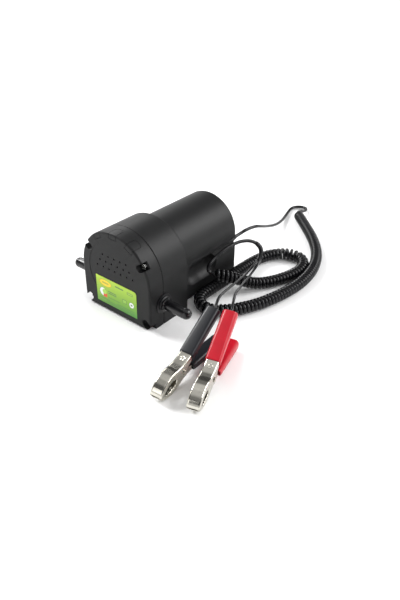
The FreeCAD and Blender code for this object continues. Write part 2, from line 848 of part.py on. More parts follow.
for i, (x, z) in enumerate(bolt_places()):
    shank = rod(f"bolt_{i}_shank", "y", "1.9", (f"{BLOCK_REAR} - 8", f"{CAN_REAR} + bell_thick"), (x, z))
    head = rod(
        f"bolt_{i}_head", "y", "3.5", (f"{CAN_REAR} + bell_thick", f"{CAN_REAR} + bell_thick + 3"), (x, z)
    )
    bolts.append(fuse(f"bolt_{i}", shank, head))
node(group("through_bolts", *bolts), "motor_bolts")
CORE_FRONT = f"({CAN_FRONT} + core_inset)"
CORE_REAR = f"({CAN_REAR} - core_clear)"
shaft = rod(
    "shaft_rod",
    "y",
    "shaft_radius",
    (f"{BLOCK_FRONT} + 0.6", f"{CAN_REAR} + bell_thick - 0.4"),
    ("0", "motor_height"),
)
node(shaft, "rotor_shaft")


def slotted(label, radius, length, start, slot, depth):
    """A round core on the shaft with slots cut by a polar pattern."""
    half = f"({slot} / 2)"
    core = lathe(
        label + "_core",
        [("0", "shaft_radius"), (length, "shaft_radius"), (length, radius), ("0", radius)],
    )
    notch = core.newObject("PartDesign::Pocket", label + "_notch")
    points = [
        (f"-{half}", f"{radius} - {depth}"),
        (half, f"{radius} - {depth}"),
        (half, f"{radius} + 1"),
        (f"-{half}", f"{radius} + 1"),
    ]
    notch.Profile = sketch(core, label + "_slot", "YZ_Plane", points)
    notch.Type = 1
    notch.Reversed = True
    pattern = core.newObject("PartDesign::PolarPattern", label + "_slots")
    pattern.Originals = [notch]
    axis = next(o for o in core.Origin.OriginFeatures if o.Role == "X_Axis")
    pattern.Axis = (axis, [""])
    pattern.Angle = 360
    bind(pattern, Occurrences="core_slots")
    core.Tip = pattern
    return node(put(core, y=start, z="motor_height", turn=ALONG_Y), label)


slotted("armature_core", "core_radius", f"({CORE_REAR} - {CORE_FRONT})", CORE_FRONT, "3.4", "8")
slotted("commutator", "commutator_radius", "commutator_length", f"({CORE_REAR} + 9)", "0.5", "1.5")
coils = []
for name, start in (("front", f"({CORE_FRONT} - 6.8)"), ("rear", CORE_REAR)):
    coil = lathe(
        f"{name}_winding",
        [
            ("1", "shaft_radius + 3"),
            ("5.8", "shaft_radius + 3"),
            ("6.8", "shaft_radius + 5"),
            ("6.8", "winding_radius - 3"),
            ("4.8", "winding_radius"),
            ("2", "winding_radius"),
            ("0", "winding_radius - 3"),
            ("0", "shaft_radius + 5"),
        ],
    )
    coils.append(put(coil, y=start, z="motor_height", turn=ALONG_Y))
node(group("windings", *coils), "armature_windings")
BRUSH_MIDDLE = f"({CORE_REAR} + 9 + commutator_length / 2)"
brushes, holders = [], []
for word, (sign, _) in SIDES.items():
    def span(low, high):
        ends = (f"{sign} * ({low})", f"{sign} * ({high})")
        return ends if sign > 0 else ends[::-1]
    start = "commutator_radius + 0.15"
    tall = ("motor_height - 2.5", "motor_height + 2.5")
    wide = (f"{BRUSH_MIDDLE} - 4", f"{BRUSH_MIDDLE} + 4")
    brushes.append(box(f"{word}_brush", span(start, "commutator_radius + 10"), wide, tall))
    cage = box(
        f"{word}_cage", span("commutator_radius + 3", "can_radius - can_wall - 1"),
        (f"{BRUSH_MIDDLE} - 6", CAN_REAR), ("motor_height - 4.5", "motor_height + 4.5"),
    )
    slide = box(f"{word}_slide", span("commutator_radius + 2", "can_radius - can_wall - 3"), wide, tall)
    holders.append(cut(f"{word}_holder", cage, slide))
node(group("brush_pair", *brushes), "carbon_brushes")
node(group("holder_pair", *holders), "brush_holders")
cushions = [
    ring(f"cushion_{i}", "can_radius", "motor_radius - 3.2", (start, f"{start} + 6"))
    for i, start in enumerate((f"({CAN_FRONT} + 18)", f"({CAN_REAR} - 10)"))
]
cushions[1] = cut("rear_cushion", cushions[1], *grips("cushion_notch", "grip_wall"))
node(group("cushions", *cushions), "motor_rubber_rings")


# ---------------------------------------------------------------- switch and gland
SWITCH_FACE = f"({REAR} - recess_depth)"
PIVOT = f"({SWITCH_FACE} - 2.6)"
switch_stock = fuse(
    "switch_stock",
    box(
        "bezel",
        ("-7.8", "7.8"),
        (SWITCH_FACE, f"{SWITCH_FACE} + 1.2"),
        ("switch_height - 11", "switch_height + 11"),
    ),
    box(
        "switch_can",
        ("-6.9", "6.9"),
        (f"{SWITCH_FACE} - 9", SWITCH_FACE),
        ("switch_height - 9.9", "switch_height + 9.9"),
    ),
)
switch_hollow = box(
    "switch_hollow",
    ("-5.6", "5.6"),
    (f"{PIVOT} - 5", f"{SWITCH_FACE} + 3"),
    ("switch_height - 8.8", "switch_height + 8.8"),
)
pin_holes = rod("switch_pin_hole", "x", "1", ("-6.6", "6.6"), (PIVOT, "switch_height"))
node(cut("switch_body_cut", switch_stock, switch_hollow, pin_holes), "switch_body")
rocker, _ = prism(
    "rocker",
    "YZ_Plane",
    [
        ("2.6", "0"),
        ("4.2", "7.6"),
        ("-1", "7.6"),
        ("-4", "3"),
        ("-4", "-3"),
        ("-1", "-7.6"),
        ("4.2", "-7.6"),
    ],
    "10.4",
    middle=True,
)
put(rocker, y=PIVOT, z="switch_height", turn=Rotation(Vector(1, 0, 0), -9))
pivot_hole = rod("pivot_hole", "x", "1 + shaft_gap", ("-6", "6"), (PIVOT, "switch_height"))
node(cut("rocker_cut", rocker, pivot_hole), "switch_rocker")
node(rod("switch_pin_rod", "x", "1", ("-6.5", "6.5"), (PIVOT, "switch_height")), "switch_pin")
relief = [("-rear_wall - 3", "0"), ("-rear_wall - 3", "5.5"), ("-rear_wall", "5.5"), ("-rear_wall", "3.9")]
relief += [("0", "3.9"), ("0", "5.4"), ("1.6", "5.4"), ("2", "4.6")]
relief += [("gland_length", "cable_radius + 0.8"), ("gland_length", "0")]
gland = lathe("gland_body", relief)
node(put(gland, x="gland_across", y=REAR, z="gland_height", turn=ALONG_Y), "cable_gland")


# ---------------------------------------------------------------- battery clips
# Each clip is drawn flat: X runs from the jaw's tip to the handles, Z up from the plane between its
# two halves. The lower half is the upper one turned over, narrower so that its ears nest inside.
CLIPS = {
    "red": {"tip": Vector(170.9, -153.2, 8.2), "heading": 107.2, "tilt": 11.9},
    "black": {"tip": Vector(133.6, -163.5, 8.2), "heading": 95.2, "tilt": 11.9},
}
OVER = Rotation(Vector(1, 0, 0), 180)
BACK = [
    (0, 1.4),
    (1.6, 4.2),
    (4.5, 6.9),
    (9, 9.4),
    (15, 11.6),
    (21, 12.3),
    (27, 11.5),
    (32, 10.1),
    (38, 9.3),
    (45, 9.5),
]
HANDLE_RISE = 0.351


OUTWARD = Vector(1, 0, HANDLE_RISE).normalize()
SQUARE = Vector(OUTWARD.z, 0, -OUTWARD.x)


def back_height(along):
    """The height of the handle's straight back above the middle plane."""
    return 10.7 + (along - 54) * HANDLE_RISE


def jaw_half(name, width, sheet_width):
    """A stamped channel: a back, two side plates with an ear at the hinge, and a cut-out that makes
    one side of the jaws' oval opening."""
    body = doc.addObject("PartDesign::Body", name)
    end = 97
    outline = [(str(u), str(v)) for u, v in BACK]
    outline += [("54", str(back_height(54))), (str(end), str(back_height(end)))]
    outline += [(str(end), str(back_height(end) - 7)), ("53", str(back_height(53) - 5.8))]
    outline += [
        ("hinge_along + ear_radius", "0", "ear_radius"), ("hinge_along", "-ear_radius", "ear_radius")
    ]
    outline += [("hinge_along - ear_radius", "0"), ("28", "0.15")]
    outline += [("26", "3.4"), ("20", "5.9"), ("13", "5.6"), ("7.5", "3"), ("5.5", "0.15"), ("0", "0.15")]
    pad = body.newObject("PartDesign::Pad", name + "_side")
    pad.Profile = sketch(body, name + "_outline", "XZ_Plane", outline)
    pad.Midplane = True
    bind(pad, Length=width)
    inner = [
        (str(u + 0.8), str(v - 0.8)) for u, v in BACK[1:5]
    ] + [(str(u), str(v - 1)) for u, v in BACK[5:]]
    inner += [("54", str(back_height(54) - 1)), (str(end + 1), str(back_height(end + 1) - 1))]
    inner += [(str(end + 1), "-10"), ("1.9", "-10")]
    hollow = body.newObject("PartDesign::Pocket", name + "_hollow")
    hollow.Profile = sketch(body, name + "_inside", "XZ_Plane", inner)
    hollow.Midplane = True
    bind(hollow, Length=sheet_width)
    hole = rod(
        name + "_pin_hole",
        "y",
        "hinge_pin + clip_gap / 3",
        ("-clip_width", "clip_width"),
        ("hinge_along", "0"),
    )
    return cut(name + "_cut", body, hole)


def sleeve(name):
    """A soft sleeve over a handle: a tube that follows the handle's slope, cut square to it."""
    def shell(label, grow, extra, width):
        start, end = SIZES["sleeve_start"] - extra, SIZES["sleeve_end"] + extra
        tall = 10.4 + 2 * grow
        corner = (end, back_height(end) + 0.2 + grow)
        body, pad = prism(
            label, "XZ_Plane",
            [
                (str(start), str(back_height(start) + 0.2 + grow)),
                (str(start), str(back_height(start) - 6.2 - grow)),
                (str(corner[0] + tall * SQUARE.x), str(corner[1] + tall * SQUARE.z)),
                (str(corner[0]), str(corner[1])),
            ],
            width,
            middle=True,
        )
        if not grow:
            return body
        doc.recompute()
        long_edges = [f"Edge{i}" for i, e in enumerate(pad.Shape.Edges, start=1) if e.Length > 30]
        soft = body.newObject("PartDesign::Fillet", label + "_soft")
        soft.Base = (pad, long_edges)
        soft.Radius = 1.6 * grow
        return body
    wall = SIZES["sleeve_wall"]
    outer = shell(name + "_outer", wall, 0, "clip_width + 2 * sleeve_wall")
    return cut(name, outer, shell(name + "_inner", 0, 1, "clip_width"))


def placed(thing, clip, label, over=False):
    """Set one piece of a clip where the clip lies."""
    data = CLIPS[clip]
    turn = Rotation(Vector(0, 0, 1), data["heading"]).multiply(Rotation(Vector(0, 1, 0), -data["tilt"]))
    place = Placement(data["tip"], turn)
    if over:
        place = place.multiply(Placement(Vector(), OVER))
    thing.Placement = place
    return node(thing, label)


def spring(name):
    """A torsion spring round the pin, between the ears, with a leg along each handle."""
    wire, coil = 0.55, value("hinge_pin") + 1.3
    turns = 5
    middle = Vector(value("hinge_along"), 0, 0)
    rings = [
        Part.makeTorus(
            coil, wire, middle + Vector(0, (i - (turns - 1) / 2) * 2 * wire * 0.96, 0), Vector(0, 1, 0)
        )
        for i in range(turns)
    ]
    edge = (turns - 1) * wire * 0.96
    for side, across in ((1, edge), (-1, -edge)):
        start = middle + Vector(0, across, side * coil)
        rings.append(Part.makeCylinder(wire, 23.5, start, Vector(1, 0, side * 0.385)))
    body = rings[0].multiFuse(rings[1:])
    feature = doc.addObject("Part::Feature", name)
    feature.Shape = body
    return feature


for clip in CLIPS:
    upper = jaw_half(f"{clip}_upper", "clip_width", "clip_width - 2 * clip_sheet")
    inner_width = "clip_width - 2 * clip_sheet - 2 * clip_gap"
    lower = jaw_half(f"{clip}_lower", inner_width, f"{inner_width} - 2 * clip_sheet")
    placed(upper, clip, f"{clip}_clip_upper_jaw")
    placed(lower, clip, f"{clip}_clip_lower_jaw", over=True)
    placed(sleeve(f"{clip}_upper_sleeve"), clip, f"{clip}_clip_upper_sleeve")
    placed(sleeve(f"{clip}_lower_sleeve"), clip, f"{clip}_clip_lower_sleeve", over=True)
    rivet = fuse(
        f"{clip}_rivet",
        rod(
            f"{clip}_pin",
            "y",
            "hinge_pin",
            ("-clip_width / 2 - 0.3", "clip_width / 2 + 0.3"),
            ("hinge_along", "0"),
        ),
        rod(
            f"{clip}_head_a",
            "y",
            "hinge_pin + 1",
            ("clip_width / 2 + 0.2", "clip_width / 2 + 1"),
            ("hinge_along", "0"),
        ),
        rod(
            f"{clip}_head_b",
            "y",
            "hinge_pin + 1",
            ("-clip_width / 2 - 1", "-clip_width / 2 - 0.2"),
            ("hinge_along", "0"),
        ),
    )
    placed(rivet, clip, f"{clip}_clip_rivet")
    placed(spring(f"{clip}_spring"), clip, f"{clip}_clip_spring")


# ---------------------------------------------------------------- cord
REAR_FACE = value(REAR)
LEAD = [
    (SIZES["gland_across"], REAR_FACE + SIZES["gland_length"], SIZES["gland_height"]),
    (SIZES["gland_across"], REAR_FACE + 22.5, SIZES["gland_height"]),
    (35.5, REAR_FACE + 36.5, 44),
    (38, REAR_FACE + 53.5, 43),
    (36, 156, 35),
    (31, 178, 25),
    (26.5, 201, 16),
    (21, 225, 8.5),
    (14.5, 248, 4),
    (7.5, 270, 2.6),
    (2, 289, 2.6),
    (2.2, 299, 2.6),
    (7.6, 306.3, 2.6),
    (16, 308.2, 3.2),
    (23, 303.5, 4.2),
    (25.5, 295, 5.4),
    (23.8, 286.5, 6.6),
    (21.2, 279.2, 7.5),
    (24.6, 273, 7.6),
]
COIL = [
    (24.6, 273, 7.6), (52, 248, 7.6), (85, 216, 7.6), (111, 182, 7.6), (126.5, 145, 7.6), (132, 107, 7.6),
    (129, 75, 7.6), (123, 47, 7.6), (115, 25, 7.6), (104, 5, 7.6), (91, -9.5, 7.6), (78.5, -15.5, 7.6),
    (65.5, -12.5, 7.6), (56.8, -3, 7.6), (54.3, 10, 7.6), (54.8, 29, 7.6), (55.6, 54, 7.6), (55.2, 84, 7.6),
    (56, 110, 7.6), (59, 130, 7.6), (67, 147, 7.6), (81, 159.5, 7.6), (97, 160, 7.6), (109, 150, 7.6),
    (114.5, 134, 7.6), (113.5, 116, 7.6), (108, 98, 7.6), (100, 80, 7.6), (90, 63, 9.5), (79, 47.5, 18),
    (67, 33.5, 25.2), (55, 25.5, 27.5),
]
TAIL = [
    (55, 25.5, 27.5), (51, 23, 28.6), (48.4, 22.3, 32.5), (48.2, 25.5, 37.5), (48.8, 33, 42), (50, 46, 46),
    (51.5, 62, 49), (55, 79, 50), (61.5, 93, 47.5), (70, 99.5, 41.5), (76, 97.5, 34), (78, 89, 27.5),
]
WIRES = {
    "red": [
        (79.6, 89, 27.5), (82.5, 76, 24), (91, 48, 26.5), (104, 14, 36), (119, -20, 47.5), (131.5, -40, 56)
    ],
    "black": [
        (76.4, 89, 27.5), (78.5, 76, 24), (85.5, 47, 26.5), (96, 10, 36.5), (108, -25, 48), (116, -47, 57)
    ],
}


def run_path(points, report):
    """Straight runs joined by tangent arcs, as large as each pair of runs allows."""
    places = [Vector(*p) for p in points]
    edges, start, radii = [], places[0], []
    for before, corner, after in zip(places, places[1:], places[2:]):
        back, on = before - corner, after - corner
        reach = 0.45 * min(back.Length, on.Length)
        back, on = back.normalize(), on.normalize()
        half_turn = (math.pi - back.getAngle(on)) / 2
        radius = reach / math.tan(half_turn)
        radii.append(radius)
        enter, leave = corner + back * reach, corner + on * reach
        inward = (back + on).normalize()
        centre = corner + inward * (radius / math.cos(half_turn))
        edges.append(Part.LineSegment(start, enter).toShape())
        edges.append(Part.Arc(enter, centre - inward * radius, leave).toShape())
        start = leave
    edges.append(Part.LineSegment(start, places[-1]).toShape())
    print(report, "arc radii", " ".join(f"{r:.1f}" for r in radii))
    return Part.Wire(edges)


def tube(label, points, radius):
    """A round cord along its route."""
    path = run_path(points, label)
    start = Vector(*points[0])
    section = Part.Wire(Part.makeCircle(radius, start, Vector(*points[1]) - start))
    solid = path.makePipeShell([section], True, True)
    ratio = solid.Volume / (math.pi * radius**2 * path.Length)
    print(f"{label}: length {path.Length:.1f} mm, volume over section times length {ratio:.4f}")
    feature = doc.addObject("Part::Feature", label + "_tube")
    feature.Shape = solid
    return node(feature, label)


def mouth(clip):
    """The middle of the open end of a clip's upper sleeve, and the way out of it."""
    data = CLIPS[clip]
    turn = Rotation(Vector(0, 0, 1), data["heading"]).multiply(Rotation(Vector(0, 1, 0), -data["tilt"]))
    end = SIZES["sleeve_end"]
    middle = Vector(end, 0, back_height(end) + 0.2) + SQUARE * 5.2
    return data["tip"] + turn.multVec(middle), turn.multVec(OUTWARD)


tube("lead_cable", LEAD, value("cable_radius"))
tube("coil_cord", COIL, value("coil_radius"))
tube("tail_cable", TAIL, value("cable_radius"))
for clip, route in WIRES.items():
    place, out = mouth(clip)
    ends = [tuple(place + out * distance) for distance in (9, 1.5)]
    print(clip, "wire ends at", [tuple(round(c, 1) for c in p) for p in ends])
    tube(f"{clip}_wire", route + ends, value("wire_radius"))


# ---------------------------------------------------------------- check and export
doc.recompute()
for thing in doc.Objects:
    if "Invalid" in thing.State or "Error" in thing.State:
        raise RuntimeError(f"{thing.Name} failed: {thing.State}")
for thing in nodes:
    if thing.Shape.isNull() or not thing.Shape.isValid() or thing.Shape.Volume <= 0:
        raise RuntimeError(f"{thing.Label} has no valid shape")
os.makedirs("parts", exist_ok=True)
for thing in nodes:
    thing.Shape.exportStep(f"parts/{thing.Label}.step")
    b = thing.Shape.BoundBox
    print(f"{thing.Label:24s} solids {len(thing.Shape.Solids)} volume {thing.Shape.Volume / 1000:9.2f} cm3",
          f"x {b.XMin:.1f} {b.XMax:.1f} y {b.YMin:.1f} {b.YMax:.1f} z {b.ZMin:.1f} {b.ZMax:.1f}")
print(len(nodes), "nodes written")
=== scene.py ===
# %% [markdown]
# A small electric pump for oil and diesel: a black moulded case, rubber-capped hose ports, a curly
# lead and two battery clips. The model arrives as a fixed frame of named nodes, one per real piece,
# already at its real size in metres. Everything below either gives such a node its finish or adds a
# finer surface in its place, so nothing needs to be scaled or moved to fit.

import json
import math

import bpy
import numpy as np
from mathutils import Matrix, Vector


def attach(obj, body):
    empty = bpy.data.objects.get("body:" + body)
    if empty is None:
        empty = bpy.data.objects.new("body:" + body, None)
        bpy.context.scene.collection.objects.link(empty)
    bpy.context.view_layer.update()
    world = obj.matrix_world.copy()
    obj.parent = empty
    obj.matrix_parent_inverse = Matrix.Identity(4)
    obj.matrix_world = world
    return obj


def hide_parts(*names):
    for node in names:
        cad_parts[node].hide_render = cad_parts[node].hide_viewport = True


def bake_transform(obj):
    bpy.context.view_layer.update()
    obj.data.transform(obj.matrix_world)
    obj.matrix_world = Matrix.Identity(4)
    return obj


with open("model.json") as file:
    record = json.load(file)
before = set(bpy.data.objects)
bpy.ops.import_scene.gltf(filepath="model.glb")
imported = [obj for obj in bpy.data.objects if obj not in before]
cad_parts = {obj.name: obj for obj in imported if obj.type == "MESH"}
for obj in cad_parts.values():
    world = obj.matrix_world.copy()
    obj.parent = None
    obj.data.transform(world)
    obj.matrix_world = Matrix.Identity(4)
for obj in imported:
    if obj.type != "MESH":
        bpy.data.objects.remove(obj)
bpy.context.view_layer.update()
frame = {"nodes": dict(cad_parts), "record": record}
MM = 0.001

# %% [markdown]
# The camera comes first, because every later choice is judged through it. It could be aimed with a
# constraint, but three turns are easier to read: swing round the object, tilt down, then roll.
# Angles are in degrees, the place in metres and the lens in millimetres.

# %% Camera
AZIMUTH, ELEVATION, ROLL = (math.radians(d) for d in (38.48, 33.81, 1.09))
CAMERA_PLACE = (0.42509, -0.46539, 0.40035)
LENS = 35.72
camera_data = bpy.data.cameras.new("camera")
camera_data.lens = LENS
camera = bpy.data.objects.new("camera", camera_data)
turn = (
    Matrix.Rotation(AZIMUTH, 4, "Z")
    @ Matrix.Rotation(math.pi / 2 - ELEVATION, 4, "X")
    @ Matrix.Rotation(ROLL, 4, "Z")
)
camera.matrix_world = Matrix.Translation(CAMERA_PLACE) @ turn
bpy.context.collection.objects.link(camera)
bpy.context.scene.camera = camera
print("camera stands", round(camera.matrix_world.translation.length, 3), "m from the case")

# %% [markdown]
# A studio sweep is a pale floor that the light fills evenly. One large plane does it here, a hair
# below the pieces that stand on it. Two wide suns give even light with soft shadows, one from the
# left and one from behind on the right, and three small panels add highlights. The glossy pieces get
# their shape from what they mirror, so the sky is a ramp over its height: pale at the horizon and
# below it, dark above that, and paler again overhead. The dark part draws the bands on the nickel.

# %% Floor and lights
FLOOR_REACH = 6.0
FLOOR_DROP = 0.0004
SKY_SHADES = ((0.28, 0.8), (0.4, 0.03), (0.72, 0.1), (1.0, 0.45))

floor_mesh = bpy.data.meshes.new("floor")
floor_corners = [(x * FLOOR_REACH, y * FLOOR_REACH, 0) for x, y in ((-1, -1), (1, -1), (1, 1), (-1, 1))]
floor_mesh.from_pydata(floor_corners, [], [(0, 1, 2, 3)])
floor = bpy.data.objects.new("floor", floor_mesh)
floor.location.z = -FLOOR_DROP
bpy.context.collection.objects.link(floor)
pale = bpy.data.materials.new("pale_floor")
pale.use_nodes = True
pale_shader = pale.node_tree.nodes["Principled BSDF"]
pale_shader.inputs["Base Color"].default_value = (0.94, 0.94, 0.94, 1)
pale_shader.inputs["Roughness"].default_value = 0.9
floor_mesh.materials.append(pale)

bpy.context.scene.view_settings.view_transform = "Standard"
world = bpy.data.worlds.new("studio")
world.use_nodes = True
sky = world.node_tree
direction = sky.nodes.new("ShaderNodeTexCoord")
height = sky.nodes.new("ShaderNodeSeparateXYZ")
shades = sky.nodes.new("ShaderNodeValToRGB")
for position, grey in SKY_SHADES:
    shades.color_ramp.elements.new(position).color = (grey, grey, grey, 1)
shades.color_ramp.elements[0].color = shades.color_ramp.elements[1].color
shades.color_ramp.elements.remove(shades.color_ramp.elements[-1])
sky.links.new(direction.outputs["Generated"], height.inputs[0])
sky.links.new(height.outputs["Z"], shades.inputs["Fac"])
sky.links.new(shades.outputs["Color"], sky.nodes["Background"].inputs["Color"])
sky.nodes["Background"].inputs["Strength"].default_value = 1.0
bpy.context.scene.world = world


def panel(name, place, aim, size, power):
    """A soft square lamp at a place, facing a point."""
    data = bpy.data.lights.new(name, "AREA")
    data.size, data.energy = size, power
    lamp = bpy.data.objects.new(name, data)
    way = Vector(aim) - Vector(place)
    lamp.matrix_world = Matrix.Translation(place) @ way.to_track_quat("-Z", "Y").to_matrix().to_4x4()
    bpy.context.collection.objects.link(lamp)


def wide_sun(name, place, power, spread):
    """An even light from far away, softened by its width in degrees."""
    data = bpy.data.lights.new(name, "SUN")
    data.energy, data.angle = power, math.radians(spread)
    lamp = bpy.data.objects.new(name, data)
    lamp.matrix_world = (-Vector(place)).to_track_quat("-Z", "Y").to_matrix().to_4x4()
    bpy.context.collection.objects.link(lamp)


wide_sun("left", (-1.3, -0.2, 1.1), 2.9, 26)
wide_sun("right_back", (0.9, 1.1, 1.0), 2.3, 34)
panel("back_left", (-0.9, 0.5, 0.8), (0.0, 0.0, 0.05), 0.5, 5)
panel("right", (1.1, 0.05, 0.75), (0.0, 0.05, 0.05), 0.4, 5)
panel("front", (-0.2, -1.3, 0.6), (0.0, 0.0, 0.05), 0.6, 2)
print("two suns, three panels and a pale sky")

# %% [markdown]
# A finish is a small node tree: one base colour that drifts a little over the piece, a roughness,
# a gloss that says how much it mirrors, and a fine grain pushed into the normals. All of it is
# read from object coordinates, which are the frame's own metres, so a grain of 0.4 mm is a noise of
# scale 1 / 0.0004 on every piece alike. Image maps would need unwrapping and would blur up close.


# %% Finishes
def add(tree, kind, **settings):
    """A node of a kind, its properties and its input values set by name."""
    new = tree.nodes.new("ShaderNode" + kind)
    for key, setting in settings.items():
        if key in new.inputs:
            new.inputs[key].default_value = setting
        else:
            setattr(new, key, setting)
    return new


def shade(shader, name, value):
    """Sets one of the shader's own inputs."""
    shader.inputs[name].default_value = value


def finish(name, colour, metal=0.0, rough=0.4, gloss=0.5, grain=0.4, depth=0.01, drift=0.08, bands=0.0):
    """A material for a slot. Grain, depth and bands are in millimetres."""
    made = bpy.data.materials.new(name)
    made.use_nodes = True
    tree = made.node_tree
    shader = tree.nodes["Principled BSDF"]
    for key, value in (("Metallic", metal), ("Roughness", rough), ("Specular IOR Level", gloss)):
        shade(shader, key, value)
    place = add(tree, "TexCoord").outputs["Object"]
    cloud = add(tree, "TexNoise", Scale=90.0, Detail=3.0)
    tones = add(tree, "ValToRGB")
    for stop, factor in zip(tones.color_ramp.elements, (1 - drift, 1 + drift)):
        stop.color = (*(min(c * factor, 1) for c in colour), 1)
    tones.color_ramp.elements[0].position, tones.color_ramp.elements[1].position = 0.3, 0.7
    tree.links.new(place, cloud.inputs["Vector"])
    tree.links.new(cloud.outputs["Fac"], tones.inputs["Fac"])
    tree.links.new(tones.outputs["Color"], shader.inputs["Base Color"])
    if bands:
        relief = add(tree, "TexWave", Scale=0.314 / (bands * MM), bands_direction="Y")
    else:
        relief = add(tree, "TexNoise", Scale=1 / (grain * MM), Detail=1.0)
    bump = add(tree, "Bump", Strength=1.0, Distance=depth * MM)
    tree.links.new(place, relief.inputs["Vector"])
    tree.links.new(relief.outputs["Fac"], bump.inputs["Height"])
    tree.links.new(bump.outputs["Normal"], shader.inputs["Normal"])
    return made


finishes = {
    "case_plastic": finish(
        "case_plastic", (0.0085, 0.0087, 0.009), rough=0.45, gloss=0.22, grain=0.5, depth=0.02
    ),
    "screw_steel": finish("screw_steel", (0.72, 0.72, 0.7), metal=1, rough=0.22, depth=0.004),
    "cap_rubber": finish("cap_rubber", (0.005, 0.005, 0.006), rough=0.17, gloss=0.5, depth=0.003),
    "soft_rubber": finish("soft_rubber", (0.007, 0.007, 0.008), gloss=0.35, rough=0.36, depth=0.006),
    "nipple_brass": finish("nipple_brass", (0.75, 0.55, 0.25), metal=1, rough=0.25, bands=0.12, depth=0.003),
    "pump_aluminium": finish("pump_aluminium", (0.7, 0.71, 0.72), metal=1, rough=0.4, grain=0.8, depth=0.03),
    "gear_steel": finish("gear_steel", (0.5, 0.5, 0.5), metal=1, rough=0.35, grain=0.3, depth=0.008),
    "shaft_steel": finish("shaft_steel", (0.65, 0.65, 0.66), metal=1, rough=0.15, bands=0.08, depth=0.002),
    "can_steel": finish("can_steel", (0.55, 0.56, 0.54), metal=1, rough=0.3, grain=1.2, depth=0.006),
    "magnet": finish("magnet", (0.05, 0.05, 0.055), rough=0.6, grain=0.3, depth=0.015),
    "core_steel": finish("core_steel", (0.3, 0.3, 0.31), metal=1, rough=0.45, bands=0.5, depth=0.05),
    "copper": finish("copper", (0.7, 0.3, 0.14), metal=1, rough=0.3, bands=0.8, depth=0.06),
    "bearing_bronze": finish("bearing_bronze", (0.6, 0.38, 0.2), metal=1, rough=0.4, grain=0.2, depth=0.01),
    "carbon": finish("carbon", (0.03, 0.03, 0.032), rough=0.55, grain=0.2, depth=0.01),
    "holder_plastic": finish("holder_plastic", (0.1, 0.07, 0.05), rough=0.5, depth=0.01),
    "switch_plastic": finish("switch_plastic", (0.015, 0.015, 0.016), rough=0.28, depth=0.004),
    "rocker_red": finish("rocker_red", (0.5, 0.01, 0.008), rough=0.25, depth=0.003),
    "cable_black": finish(
        "cable_black", (0.004, 0.004, 0.005), rough=0.2, gloss=0.32, grain=0.9, depth=0.006
    ),
    "clip_nickel": finish("clip_nickel", (0.56, 0.54, 0.48), metal=1, rough=0.15, grain=1.6, depth=0.01),
    "spring_steel": finish("spring_steel", (0.6, 0.6, 0.58), metal=1, rough=0.25, depth=0.003),
    "sleeve_red": finish("sleeve_red", (0.42, 0.001, 0.012), rough=0.32, gloss=0.4, grain=1.2, depth=0.01),
    "sleeve_black": finish(
        "sleeve_black", (0.006, 0.007, 0.01), rough=0.34, gloss=0.35, grain=1.2, depth=0.01
    ),
}
print(len(finishes), "finishes")

# %% [markdown]
# The rating plate is a printed film, so it gets a drawing made of masks. Each mask is one where a
# shape is and nothing elsewhere: an ellipse is where (x / a)^2 + (z / b)^2 < 1, a bar is where both
# |x| < a and |z| < b. The shapes are laid over a green gradient one after another. There is no
# lettering: short plain bars stand where print would be.


# %% The plate's print
def arithmetic(tree, operation, first, second=0.0):
    """A math node on two numbers or sockets."""
    result = add(tree, "Math", operation=operation)
    for socket, value in zip(result.inputs, (first, second)):
        if hasattr(value, "links"):
            tree.links.new(value, socket)
        else:
            socket.default_value = value
    return result.outputs[0]


def ellipse(tree, x, z, centre, radii):
    """One inside an ellipse."""
    squares = []
    for axis, middle, radius in zip((x, z), centre, radii):
        away = arithmetic(tree, "DIVIDE", arithmetic(tree, "SUBTRACT", axis, middle * MM), radius * MM)
        squares.append(arithmetic(tree, "MULTIPLY", away, away))
    return arithmetic(tree, "LESS_THAN", arithmetic(tree, "ADD", *squares), 1.0)


def bar(tree, x, z, centre, half):
    """One inside an upright rectangle."""
    sides = []
    for axis, middle, side in zip((x, z), centre, half):
        away = arithmetic(tree, "ABSOLUTE", arithmetic(tree, "SUBTRACT", axis, middle * MM))
        sides.append(arithmetic(tree, "LESS_THAN", away, side * MM))
    return arithmetic(tree, "MULTIPLY", *sides)


